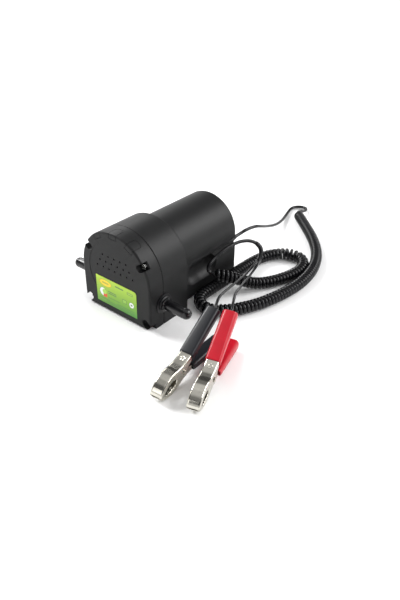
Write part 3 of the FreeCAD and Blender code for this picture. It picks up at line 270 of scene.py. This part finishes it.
def plate_print():
    """The green plate: a gradient with a yellow badge, a dial, plain bars and a round sign on it."""
    made = bpy.data.materials.new("label_print")
    made.use_nodes = True
    tree = made.node_tree
    shader = tree.nodes["Principled BSDF"]
    shade(shader, "Roughness", 0.35)
    axes = add(tree, "SeparateXYZ")
    tree.links.new(add(tree, "TexCoord").outputs["Object"], axes.inputs[0])
    x, z = axes.outputs["X"], axes.outputs["Z"]
    slant = arithmetic(tree, "SUBTRACT", z, arithmetic(tree, "MULTIPLY", x, 0.12))
    fade = add(tree, "MapRange", **{"From Min": 0.008, "From Max": 0.046})
    tree.links.new(slant, fade.inputs["Value"])
    green = add(tree, "ValToRGB")
    green.color_ramp.elements[0].color = (0.08, 0.32, 0.035, 1)
    green.color_ramp.elements[1].color = (0.47, 0.67, 0.04, 1)
    tree.links.new(fade.outputs["Result"], green.inputs["Fac"])
    colour = green.outputs["Color"]
    dark, white = (0.09, 0.2, 0.05, 1), (0.85, 0.87, 0.84, 1)
    yellow, rim, red = (0.88, 0.66, 0.02, 1), (0.45, 0.4, 0.03, 1), (0.75, 0.1, 0.02, 1)
    layers = [
        (ellipse(tree, x, z, (-17, 36.6), (10, 4.6)), rim),
        (ellipse(tree, x, z, (-17, 36.6), (9.3, 3.9)), yellow),
        (bar(tree, x, z, (-17, 36.6), (5.2, 1.0)), rim),
        (ellipse(tree, x, z, (-21.6, 23.5), (5.9, 5.9)), dark),
        (ellipse(tree, x, z, (-21.6, 23.5), (5.4, 5.4)), white),
        (bar(tree, x, z, (-18.4, 20.4), (3.1, 3.0)), red),
        (ellipse(tree, x, z, (-19.2, 24.4), (3.4, 3.4)), (0.4, 0.66, 0.08, 1)),
        (bar(tree, x, z, (5.5, 38.6), (6.5, 0.8)), dark),
        (bar(tree, x, z, (22, 37.4), (4.4, 1.5)), dark),
        (bar(tree, x, z, (22, 37.4), (3.7, 0.9)), (0.36, 0.58, 0.06, 1)),
        (bar(tree, x, z, (-6.5, 27.2), (6.5, 0.6)), dark),
        (bar(tree, x, z, (-6.5, 24.9), (6.5, 0.6)), dark),
        (bar(tree, x, z, (-3.5, 19.0), (9.5, 0.35)), dark),
        (bar(tree, x, z, (13, 24), (3.2, 2.7)), dark),
        (bar(tree, x, z, (13, 24), (2.6, 2.1)), (0.3, 0.54, 0.07, 1)),
        (ellipse(tree, x, z, (24, 23.6), (3.9, 3.9)), dark),
        (ellipse(tree, x, z, (24, 23.6), (3.5, 3.5)), white),
        (bar(tree, x, z, (24, 23.6), (1.5, 1.1)), dark),
        (bar(tree, x, z, (-19.5, 14.8), (8.5, 0.4)), dark),
        (bar(tree, x, z, (14.5, 15.4), (13.5, 0.4)), dark),
        (bar(tree, x, z, (6.0, 13.2), (22, 0.35)), dark),
        (bar(tree, x, z, (0, 10.9), (28, 0.3)), dark),
    ]
    for mask, paint in layers:
        over = add(tree, "Mix", data_type="RGBA")
        tree.links.new(mask, over.inputs["Factor"])
        tree.links.new(colour, over.inputs[6])
        over.inputs[7].default_value = paint
        colour = over.outputs[2]
    tree.links.new(colour, shader.inputs["Base Color"])
    return made


finishes["label_print"] = plate_print()
print("the plate's print has", len(finishes["label_print"].node_tree.nodes), "nodes")

# %% [markdown]
# The frame's record names one slot for each node, so the nodes can be dressed in one sweep.

# %% Dress the frame's nodes
def dress(piece, slot_name):
    """Gives a piece its finish."""
    piece.data.materials.clear()
    piece.data.materials.append(finishes[slot_name])


for part in frame["record"]["subparts"]:
    cad_node = frame["nodes"][part["node"]]
    cad_node.data.materials.clear()
    cad_node.data.materials.append(finishes[part["material_slot"]])

# %% [markdown]
# Every new piece in this file is a sheet of points worked out with numpy. Each row is a closed loop,
# as round a tube, the rows follow one another along the piece, and a flat cap shuts either end. This
# helper turns such a grid into a mesh in one go, with no loop over points.


# %% A grid of points becomes a mesh
def link(name, mesh):
    """A smooth-shaded object for a mesh, linked to the scene."""
    mesh.polygons.foreach_set("use_smooth", [True] * len(mesh.polygons))
    piece = bpy.data.objects.new(name, mesh)
    bpy.context.collection.objects.link(piece)
    return piece


def grid_faces(rows, columns):
    """Quads between neighbouring rows, each row closed on itself, as corner indices."""
    i = np.arange(rows - 1)[:, None]
    j = np.arange(columns)[None, :]
    after = (j + 1) % columns
    corners = (i * columns + j, i * columns + after, (i + 1) * columns + after, (i + 1) * columns + j)
    return np.stack(np.broadcast_arrays(*corners), axis=-1).reshape(-1, 4)


def sheet_of(name, points):
    """A closed piece from points[row, column], with one many-sided face over each end."""
    rows, columns = points.shape[:2]
    first_cap = list(range(columns))[::-1]
    last_cap = list(range((rows - 1) * columns, rows * columns))
    mesh = bpy.data.meshes.new(name)
    faces = grid_faces(rows, columns).tolist() + [first_cap, last_cap]
    mesh.from_pydata(points.reshape(-1, 3).tolist(), [], faces)
    mesh.validate()
    mesh.update()
    return link(name, mesh)


print("4 rows of 6 points have", len(grid_faces(4, 6)), "faces between them")

# %% [markdown]
# The lead is one cable. It leaves the gland on the rear wall, lies back along the floor, winds into
# the curl and comes out as a straight tail that divides in two. Its middle line is a NURBS curve
# over a list of control points in millimetres, the same as the carried-over cable has, because a
# stiff cable sweeps as smoothly as such a curve.

# %% The lead's route
LEAD = [
    (33, 97.5, 41), (33, 106, 41), (35.5, 120, 44), (38, 137, 43), (36, 156, 35), (31, 178, 25),
    (26.5, 201, 16), (21, 225, 8.5), (14.5, 248, 4), (7.5, 270, 2.6), (2, 289, 2.6), (2.2, 299, 2.6),
    (7.6, 306.3, 2.6), (16, 308.2, 3.2), (23, 303.5, 4.2), (25.5, 295, 5.4), (23.8, 286.5, 6.6),
    (21.2, 279.2, 7.5), (24.6, 273, 7.6),
]
COIL = [
    (24.6, 273, 7.6), (52, 248, 7.6), (85, 216, 7.6), (111, 182, 7.6), (126.5, 145, 7.6), (132, 107, 7.6),
    (129, 75, 7.6), (123, 47, 7.6), (115, 25, 7.6), (104, 5, 7.6), (91, -9.5, 7.6), (78.5, -15.5, 7.6),
    (65.5, -12.5, 7.6), (56.8, -3, 7.6), (54.3, 10, 7.6), (54.8, 29, 7.6), (55.6, 54, 7.6), (55.2, 84, 7.6),
    (56, 110, 7.6), (59, 130, 7.6), (67, 147, 7.6), (81, 159.5, 7.6), (97, 160, 7.6), (109, 150, 7.6),
    (114.5, 134, 7.6), (113.5, 116, 7.6), (108, 98, 7.6), (100, 80, 7.6), (90, 63, 9.5), (79, 47.5, 18),
    (67, 33.5, 25.2), (55, 25.5, 27.5),
]
TAIL = [
    (55, 25.5, 27.5), (51, 23, 28.6), (48.4, 22.3, 32.5), (48.2, 25.5, 37.5), (48.8, 33, 42), (50, 46, 46),
    (51.5, 62, 49), (55, 79, 50), (61.5, 93, 47.5), (70, 99.5, 41.5), (76, 97.5, 34), (78, 89, 27.5),
]


def route_line(name, control_points):
    """The points of a smooth NURBS curve of order 3 over the control points, in metres."""
    data = bpy.data.curves.new(name, "CURVE")
    data.dimensions = "3D"
    data.resolution_u = 24
    spline = data.splines.new("NURBS")
    spline.points.add(len(control_points) - 1)
    homogeneous = np.ones((len(control_points), 4))
    homogeneous[:, :3] = np.array(control_points) * MM
    spline.points.foreach_set("co", homogeneous.ravel())
    spline.order_u = 3
    spline.use_endpoint_u = True
    holder = bpy.data.objects.new(name, data)
    bpy.context.collection.objects.link(holder)
    mesh = bpy.data.meshes.new_from_object(holder)
    points = np.empty(len(mesh.vertices) * 3)
    mesh.vertices.foreach_get("co", points)
    bpy.data.objects.remove(holder)
    bpy.data.meshes.remove(mesh)
    return points.reshape(-1, 3)


def unit(vectors):
    """Each vector divided by its length."""
    return vectors / np.linalg.norm(vectors, axis=-1, keepdims=True)


def along(points):
    """The distance along a line at each of its points."""
    return np.concatenate([[0], np.cumsum(np.linalg.norm(np.diff(points, axis=0), axis=1))])


def read(points, s, at):
    """The points known at distances s, read in between at other distances."""
    return np.stack([np.interp(at, s, points[:, k]) for k in range(3)], axis=1)


def even(points, step):
    """The line read again at equal steps."""
    s = along(points)
    return read(points, s, np.linspace(0, s[-1], max(int(s[-1] / step), 2)))


def smooth(values, width):
    """A running mean over a number of neighbours, ends held."""
    padded = np.concatenate([[values[0]] * width, values, [values[-1]] * width])
    kernel = np.ones(2 * width + 1) / (2 * width + 1)
    return np.convolve(padded, kernel, "same")[width:-width]


MIDDLE_STEP = 0.0005
middle_line = even(route_line("lead_route", LEAD + COIL[1:] + TAIL[1:]), MIDDLE_STEP)
print("the lead's middle line is", round(along(middle_line)[-1], 3), "m long")

# %% [markdown]
# The curl is a helix about that middle line. At each point of the line there is a level direction
# across it and one square to both, and the cable's own centre goes round in that plane: the centre
# is line + radius times (cos angle x up + sin angle x across). The angle gains a full turn in one
# pitch. Round a bend the turns touch on the inside and fan out on the outside, so the pitch grows
# with the bend. A particle or array modifier could also repeat a turn, but it can't fan out.

# %% The curl
CABLE = 0.0045
CURL = 0.015
TURN_RADIUS = (CURL - CABLE) / 2
PITCH = 0.00465
BEND_NEIGHBOURS = 24
MOST_CROWDED = 0.6
RAMP_TURNS = 1.3
STEPS_PER_TURN = 20


def nearest(points, place):
    """The index of the point nearest a place."""
    return int(np.argmin(np.linalg.norm(points - np.array(place) * MM, axis=1)))


def frames(line):
    """Along, up and across directions: up is vertical less its share along the line."""
    forward = unit(np.gradient(line, axis=0))
    up = unit(np.array([0, 0, 1.0]) - forward[:, 2:] * forward)
    return forward, up, np.cross(forward, up)


def curl_line(line, start, end):
    """The cable's centre, straight outside the curl and helical between two indices."""
    s = along(line)
    forward, up, across = frames(line)
    bend = np.linalg.norm(np.gradient(forward, axis=0), axis=1) / np.gradient(s)
    bend = smooth(bend, BEND_NEIGHBOURS)
    inside = (s > s[start]) & (s < s[end])
    pitch = PITCH / (1 - np.minimum(bend * TURN_RADIUS, MOST_CROWDED))
    angle = 2 * math.pi * np.cumsum(np.where(inside, np.gradient(s) / pitch, 0))
    ramp = np.clip(np.minimum(s - s[start], s[end] - s) / (RAMP_TURNS * PITCH), 0, 1)
    amount = TURN_RADIUS * ramp * ramp * (3 - 2 * ramp)
    fine_s = np.linspace(0, s[-1], int(s[-1] / (PITCH / STEPS_PER_TURN)))
    angle, amount = np.interp(fine_s, s, angle), np.interp(fine_s, s, amount)
    line, up, across = (read(values, s, fine_s) for values in (line, up, across))
    out = np.cos(angle)[:, None] * up + np.sin(angle)[:, None] * across
    print("the curl has", round(angle[-1] / (2 * math.pi)), "turns")
    return line + amount[:, None] * out, out, amount


curl_start, curl_end = nearest(middle_line, COIL[0]), nearest(middle_line, COIL[-1])
cable_line, cable_out, curl_amount = curl_line(middle_line, curl_start, curl_end)
print("the cable is", round(along(cable_line)[-1], 2), "m long")

# %% [markdown]
# A tube is its centre line plus a circle in the plane square to it. Outside the curl the middle line
# is sampled far more finely than a straight cable needs, so points there are thinned by taking every
# fourth one.


# %% A tube along a line
def tube(name, line, radius, sides=10, lean=None):
    """line + radius x (cos a x first + sin a x second), where first is square to the line, near the
    lean direction, and second is square to both. radius may vary along the line."""
    forward = unit(np.gradient(line, axis=0))
    lean = frames(line)[1] if lean is None else lean
    first = unit(lean - np.sum(lean * forward, axis=1, keepdims=True) * forward)
    second = np.cross(forward, first)
    turn = np.linspace(0, 2 * math.pi, sides, endpoint=False)
    ring = np.cos(turn)[None, :, None] * first[:, None] + np.sin(turn)[None, :, None] * second[:, None]
    size = np.broadcast_to(radius, len(line))[:, None, None]
    return sheet_of(name, line[:, None] + size * ring)


THINNING = 4
keep = (curl_amount > 0) | (np.arange(len(cable_line)) % THINNING == 0)
keep[-THINNING:] = False
keep[-1] = True
cable_line, cable_out = cable_line[keep], cable_out[keep]
curly_lead = tube("curly_lead", cable_line, CABLE / 2, lean=cable_out)
print("curly_lead:", len(curly_lead.data.polygons), "faces")

# %% [markdown]
# The two clips lie side by side, each turned and tilted its own way. It's easier to draw a clip in
# its own directions, in millimetres along it, across it and up from it, and to turn the finished
# points into place once. A class keeps each clip's three directions for that.

# %% The clips' places
CLIPS = {
    "red": {"tip": (170.9, -153.2, 8.2), "heading": 107.2, "tilt": 11.9},
    "black": {"tip": (133.6, -163.5, 8.2), "heading": 95.2, "tilt": 11.9},
}
HINGE_ALONG = 39


class Clip:
    """Turns a clip's own coordinates, in millimetres along, across and up, into places in metres."""

    def __init__(self, tip, heading, tilt):
        heading, tilt = math.radians(heading), math.radians(tilt)
        self.tip = np.array(tip)
        level = np.array([math.cos(heading), math.sin(heading), 0])
        self.out = math.cos(tilt) * level + np.array([0, 0, math.sin(tilt)])
        self.side = np.array([-math.sin(heading), math.cos(heading), 0])
        self.up = np.cross(self.out, self.side)

    def place(self, u, w, v):
        """The place u along the clip, w across it and v up from it."""
        u, w, v = (np.asarray(a, float)[..., None] for a in (u, w, v))
        return (self.tip + u * self.out + w * self.side + v * self.up) * MM


clips = {name: Clip(**data) for name, data in CLIPS.items()}


HANDLE_START, HANDLE_END, SLEEVE_END = 54, 97, 105
BACK_START, BACK_SLOPE = 10.7, 0.351


def back_height(u):
    """How high the handle's straight back is above the clip's middle plane."""
    return BACK_START + (u - HANDLE_START) * BACK_SLOPE


print("rivets at", {name: clip.place(HINGE_ALONG, 0, 0).round(4).tolist() for name, clip in clips.items()})

# %% [markdown]
# Two thin wires go on from the tail to the clips, each along its own curve. A wire's last three
# points lie on a line beside the upper handle's straight back, one outside the sleeve's mouth and two
# inside it, so the wire comes straight out of the sleeve.

# %% The wires
WIRES = {
    "red": [
        (79.6, 89, 27.5), (82.5, 76, 24), (91, 48, 26.5), (104, 14, 36), (118, -18, 47), (130, -37, 54.5),
    ],
    "black": [
        (76.4, 89, 27.5), (78.5, 76, 24), (85.5, 47, 26.5), (96, 10, 36.5), (107.5, -23, 47.5),
        (115.5, -44, 55),
    ],
}
WIRE = 0.003
WIRE_STEP = 0.0015
END_STEPS = (4, -1, -8)
BELOW_BACK = 5.2
outward = np.array([1, BACK_SLOPE]) / math.hypot(1, BACK_SLOPE)
downward = np.array([outward[1], -outward[0]])
mouth = np.array([SLEEVE_END, back_height(SLEEVE_END) + 0.2]) + BELOW_BACK * downward
wires = {}
for name, clip in clips.items():
    ends = [clip.place(u, 0, v) / MM for u, v in (mouth + step * outward for step in END_STEPS)]
    route = route_line(f"{name}_wire_route", WIRES[name] + [tuple(end) for end in ends])
    line = even(route, WIRE_STEP)
    wires[name] = (tube(f"{name}_wire_run", line, WIRE / 2), line)
    print(name, "wire is", round(along(line)[-1], 4), "m long")

# %% [markdown]
# Where the tail's sheath ends, a short shrink sleeve holds the two wires together. It is a tube whose
# radius follows a soft step at each end.

# %% The split's sleeve
SPLIT_POINTS = 28
SPLIT_WALL = 0.0007
tail_end = cable_line[-SPLIT_POINTS:]
share = along(tail_end) / along(tail_end)[-1]
bulge = CABLE / 2 + SPLIT_WALL * np.clip(8 * share, 0, 1) ** 0.5
past_end = unit(tail_end[-1:] - tail_end[-2:-1]) * np.array([[0.0015], [0.003]])
split_line = np.concatenate([tail_end, tail_end[-1:] + past_end])
split_radius = np.concatenate([bulge, [bulge[-1] * 0.97, bulge[-1] * 0.75]])
wire_split = tube("wire_split", split_line, split_radius, sides=20)
print("wire_split is", round(along(split_line)[-1] * 1000, 1), "mm long")

# %% [markdown]
# The lead and the split's sleeve ride on the case, the frame's own cables and wires are hidden in their
# place, and each new cord takes the black cable's finish. A clip's upper half swings on its rivet and takes
# the wire in its sleeve along; here the wires are fixed where they are drawn and don't follow it.

for piece in (curly_lead, wire_split):
    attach(piece, "pump")
    dress(piece, "cable_black")
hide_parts("lead_cable", "coil_cord", "tail_cable")
for name, clip in clips.items():
    wire, line = wires[name]
    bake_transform(wire)
    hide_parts(f"{name}_wire")
    dress(wire, "cable_black")

# %% [markdown]
# Each half of a clip is a stamped channel: a back that curves over the jaw and runs straight into the
# handle, and two side plates. One cross-section is a wide U with rounded corners, drawn as a closed
# loop of points, outside one way and inside the other. Stations along the clip give that loop its
# height: the back follows a smooth profile, the sides end on the jaw's own edge. Subdividing a folded
# box would also work, but the oval mouth, the teeth and the hinge ears come more easily as formulas.

# %% The clip's profiles
BACK_ALONG = [0, 1.6, 4.5, 9, 15, 21, 27, 32, 38, 45, HANDLE_START, HANDLE_END]
BACK_UP = [1.4, 4.2, 6.9, 9.4, 11.6, 12.3, 11.5, 10.1, 9.3, 9.5, BACK_START, back_height(HANDLE_END)]
EDGE_ALONG = [0, 5.5, 7.5, 10, 13, 16.5, 20, 23, 26, 28, 33.79, 33.8, 44.2, 44.21, 53, 97]
EDGE_UP = [0.15, 0.15, 3, 4.6, 5.6, 6.0, 5.9, 5.1, 3.4, 0.15, 0.1, 0, 0, 0, 4.5, 18.8]
EAR = 5.2
SHEET = 1.0
TOOTH_RUN, TOOTH_HEIGHT = 1.6, 0.55
TEETH_START, TEETH_END = 8, 25


def stations():
    """Places along the clip, closer together where the profile turns: the tip, mouth and ear."""
    ear = HINGE_ALONG - EAR * np.cos(np.linspace(0, math.pi, 21))
    return np.concatenate([
        np.linspace(0, 5.4, 14), np.linspace(5.6, 28, 57), np.linspace(28.4, 33.6, 8), ear,
        np.linspace(44.8, 53, 18), np.linspace(HANDLE_START, HANDLE_END, 24),
    ])


def back_profile(u):
    """The back's height: the profile's corners joined, then rounded by a short running mean."""
    fine = np.linspace(0, HANDLE_END, 10 * HANDLE_END + 1)
    cornered = np.interp(fine, BACK_ALONG, BACK_UP)
    blend = np.clip(fine / 3, 0, 1)
    return np.interp(u, fine, blend * smooth(cornered, 12) + (1 - blend) * cornered)


def edge_profile(u):
    """The side plates' lower edge: the mouth with its small teeth, and half a circle at the hinge."""
    edge = np.interp(u, EDGE_ALONG, EDGE_UP)
    inside = np.abs(u - HINGE_ALONG) <= EAR
    ear = -np.sqrt(np.maximum(EAR**2 - (u - HINGE_ALONG) ** 2, 0))
    teeth = TOOTH_HEIGHT * np.abs((u / TOOTH_RUN) % 2 - 1) * ((u > TEETH_START) & (u < TEETH_END))
    return np.where(inside, ear, edge - teeth)


print("a jaw has", len(stations()), "stations")

# %% [markdown]
# The loop starts at the foot of one side plate, climbs it, rounds the corner, crosses the back, comes
# down the other side and returns inside. The back carries a small pressed ring of dots over the
# handle's root. The rows are handed over last to first, because the loop runs the other way round
# than a tube's does and the faces would point inwards.


# %% The clip halves
CORNER, INNER_CORNER = 1.7, 0.7
DOTS_ALONG, DOTS_RADIUS, DOT_WIDTH, DOT_DEPTH, DOTS = 46.5, 2.1, 0.6, 0.3, 5


def channel(half_width):
    """place(across, share) along the loop: across in millimetres, share 0 at the edge to 1 at the
    back, with the amount of sheet still to be taken off there."""
    climb = np.linspace(0, 1, 7)[:-1]
    corner = np.linspace(0, math.pi / 2, 6)
    width = half_width - CORNER
    flat = np.linspace(-width, width, 31)[1:-1]
    rows = []
    for radius, sheet in ((CORNER, 0.0), (INNER_CORNER, SHEET)):
        side = half_width - sheet
        left = [(-side, c, radius, 0.0) for c in climb]
        turn = [(-side + radius * (1 - math.cos(a)), 1.0, radius, math.sin(a)) for a in corner]
        top = [(w, 1.0, radius, 1.0) for w in flat]
        half = left + turn + top + [(-w, c, r, k) for w, c, r, k in (left + turn)[::-1]]
        rows.append([(w, c, r, k, sheet) for w, c, r, k in half])
    return np.array(rows[0] + rows[1][::-1])


def jaw(clip, name, half_width, over):
    """Station heights times the loop: up = edge + share x (back - radius - edge) + radius x rise."""
    u = stations()
    back, edge = back_profile(u), edge_profile(u)
    slope = np.gradient(back, u)
    normal = np.stack([-slope, np.ones_like(u)], axis=1) / np.hypot(slope, 1)[:, None]
    loop = channel(half_width)
    w, share, radius, rise, sheet = (loop[None, :, k] for k in range(5))
    top_u = u[:, None] - sheet * normal[:, :1]
    top_v = back[:, None] - sheet * normal[:, 1:]
    shoulder = np.maximum(top_v - radius, edge[:, None] + 0.2)
    up = np.where(share < 1, edge[:, None] + share * (shoulder - edge[:, None]), 0)
    up = np.where(share >= 1, shoulder + rise * (top_v - shoulder), up)
    weight = np.where(share >= 1, 1.0, share)
    out = u[:, None] + weight * (top_u - u[:, None])
    away = np.hypot(out - DOTS_ALONG, w)
    groove = DOT_DEPTH * np.exp(-(((away - DOTS_RADIUS) / DOT_WIDTH) ** 2))
    dots = groove * (0.5 + 0.5 * np.cos(DOTS * np.arctan2(w, out - DOTS_ALONG)))
    up = up - np.where(rise >= 1, dots, 0)
    flip = -1 if over else 1
    points = clip.place(out, flip * np.broadcast_to(w, out.shape), flip * up)
    return sheet_of(name, points[::-1])


for name, clip in clips.items():
    for word, half_width, over, body in (
        ("upper", 6.85, False, f"{name}_clip_half"), ("lower", 5.7, True, "pump"),
    ):
        half = jaw(clip, f"{name}_{word}_jaw_sheet", half_width, over)
        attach(half, body)
        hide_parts(f"{name}_clip_{word}_jaw")
        dress(half, "clip_nickel")
print("four clip halves,", len(half.data.polygons), "faces each")

# %% [markdown]
# The handles wear dipped sleeves. A sleeve is a rounded rectangle carried along the handle, growing
# in height and getting rounder on the way. Rows near both ends are drawn in a little, which rounds
# the lips. On the upper handles the last rows turn back inside and make the open mouth the wire comes
# out of.

# %% The sleeves
TOP_LINE = np.array([[53, 11.65], [105, 29.9]])
BOTTOM_LINE = np.array([[53, 3.05], [109.17, 18.0]])
SLEEVE_HALF = 7.95
CORNER_START, CORNER_GROWTH, CORNER_LEAST = 2.6, 2.2, 0.8


def rounded_rectangle(half_width, half_height, radius):
    """Points round a rectangle: seven on each quarter-circle corner, straight flats between."""
    quarter = np.linspace(0, math.pi / 2, 7)
    ring = []
    for k, (sx, sy) in enumerate(((1, 1), (-1, 1), (-1, -1), (1, -1))):
        angle = quarter + k * math.pi / 2
        centre = np.array([sx * (half_width - radius), sy * (half_height - radius)])
        ring.append(centre + radius * np.stack([np.cos(angle), np.sin(angle)], axis=1))
    return np.concatenate(ring)


def sleeve(clip, name, open_end, over):
    """row(f) = middle(f) + ring drawn in by the row's inset, f from the start lip to the end lip."""
    body = [(f, 0.0) for f in np.linspace(0.03, 0.975, 30)]
    rows = [(0.04, 1.05), (0.0, 1.05), (0.0, 0.5), (0.004, 0.15), (0.012, 0.0)] + body
    rows += [(0.988, 0.02), (0.996, 0.2), (1.0, 0.55), (1.0, 1.1), (0.985, 1.3)]
    rows += [(0.9, 1.5), (0.78, 2.4)] if open_end else [(0.984, 2.5)]
    flip = -1 if over else 1
    points = []
    for f, inset in rows:
        top = TOP_LINE[0] + f * (TOP_LINE[1] - TOP_LINE[0])
        bottom = BOTTOM_LINE[0] + f * (BOTTOM_LINE[1] - BOTTOM_LINE[0])
        tall = np.linalg.norm(top - bottom) / 2
        corner = max(CORNER_START + CORNER_GROWTH * f - inset * 0.8, CORNER_LEAST)
        ring = rounded_rectangle(SLEEVE_HALF - inset, tall - inset, corner)
        at = (top + bottom) / 2 + ring[:, 1:] * (top - bottom) / (2 * tall)
        points.append(clip.place(at[:, 0], flip * ring[:, 0], flip * at[:, 1]))
    return sheet_of(name, np.array(points))


for name, clip in clips.items():
    for word, body in (("upper", f"{name}_clip_half"), ("lower", "pump")):
        grip = sleeve(clip, f"{name}_{word}_grip", word == "upper", word == "lower")
        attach(grip, body)
        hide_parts(f"{name}_clip_{word}_sleeve")
        dress(grip, f"sleeve_{name}")
print("four sleeves,", len(grip.data.polygons), "faces each")

# %% [markdown]
# Inside each clip a torsion spring sits round the rivet with a leg along each handle. It's one wire: a
# straight leg, a short helix and a second leg, so the same tube serves.

# %% The springs
SPRING_WIRE_RADIUS, SPRING_RADIUS, SPRING_WIDTH, SPRING_TURNS = 0.55, 2.8, 4.224, 4.5
LEG, LEG_RISE = 23.5, 0.385


def spring_line(clip):
    """Leg, then (radius x sin a, pitch x a, radius x cos a) round the rivet, then leg."""
    a = np.linspace(0, 2 * math.pi * SPRING_TURNS, 150)
    across = (a / a[-1] - 0.5) * SPRING_WIDTH
    coil = np.stack([HINGE_ALONG - SPRING_RADIUS * np.sin(a), across, -SPRING_RADIUS * np.cos(a)], axis=1)
    t = np.linspace(0, 1, 12)[:, None]
    low = coil[:1] + t[:0:-1] * np.array([[LEG, 0, -LEG * LEG_RISE]])
    high = coil[-1:] + t[1:] * np.array([[LEG, 0, LEG * LEG_RISE]])
    path = np.concatenate([low, coil, high])
    return clip.place(path[:, 0], path[:, 1], path[:, 2])


for name, clip in clips.items():
    line = spring_line(clip)
    lean = np.broadcast_to(clip.side, line.shape)
    spring = tube(f"{name}_spring_wire", line, SPRING_WIRE_RADIUS * MM, sides=8, lean=lean)
    low, high = (clip.place(HINGE_ALONG, 0, v) for v in (-SPRING_RADIUS, SPRING_RADIUS))
    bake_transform(spring)
    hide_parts(f"{name}_clip_spring")
    dress(spring, "spring_steel")
print("two springs,", len(spring.data.polygons), "faces each")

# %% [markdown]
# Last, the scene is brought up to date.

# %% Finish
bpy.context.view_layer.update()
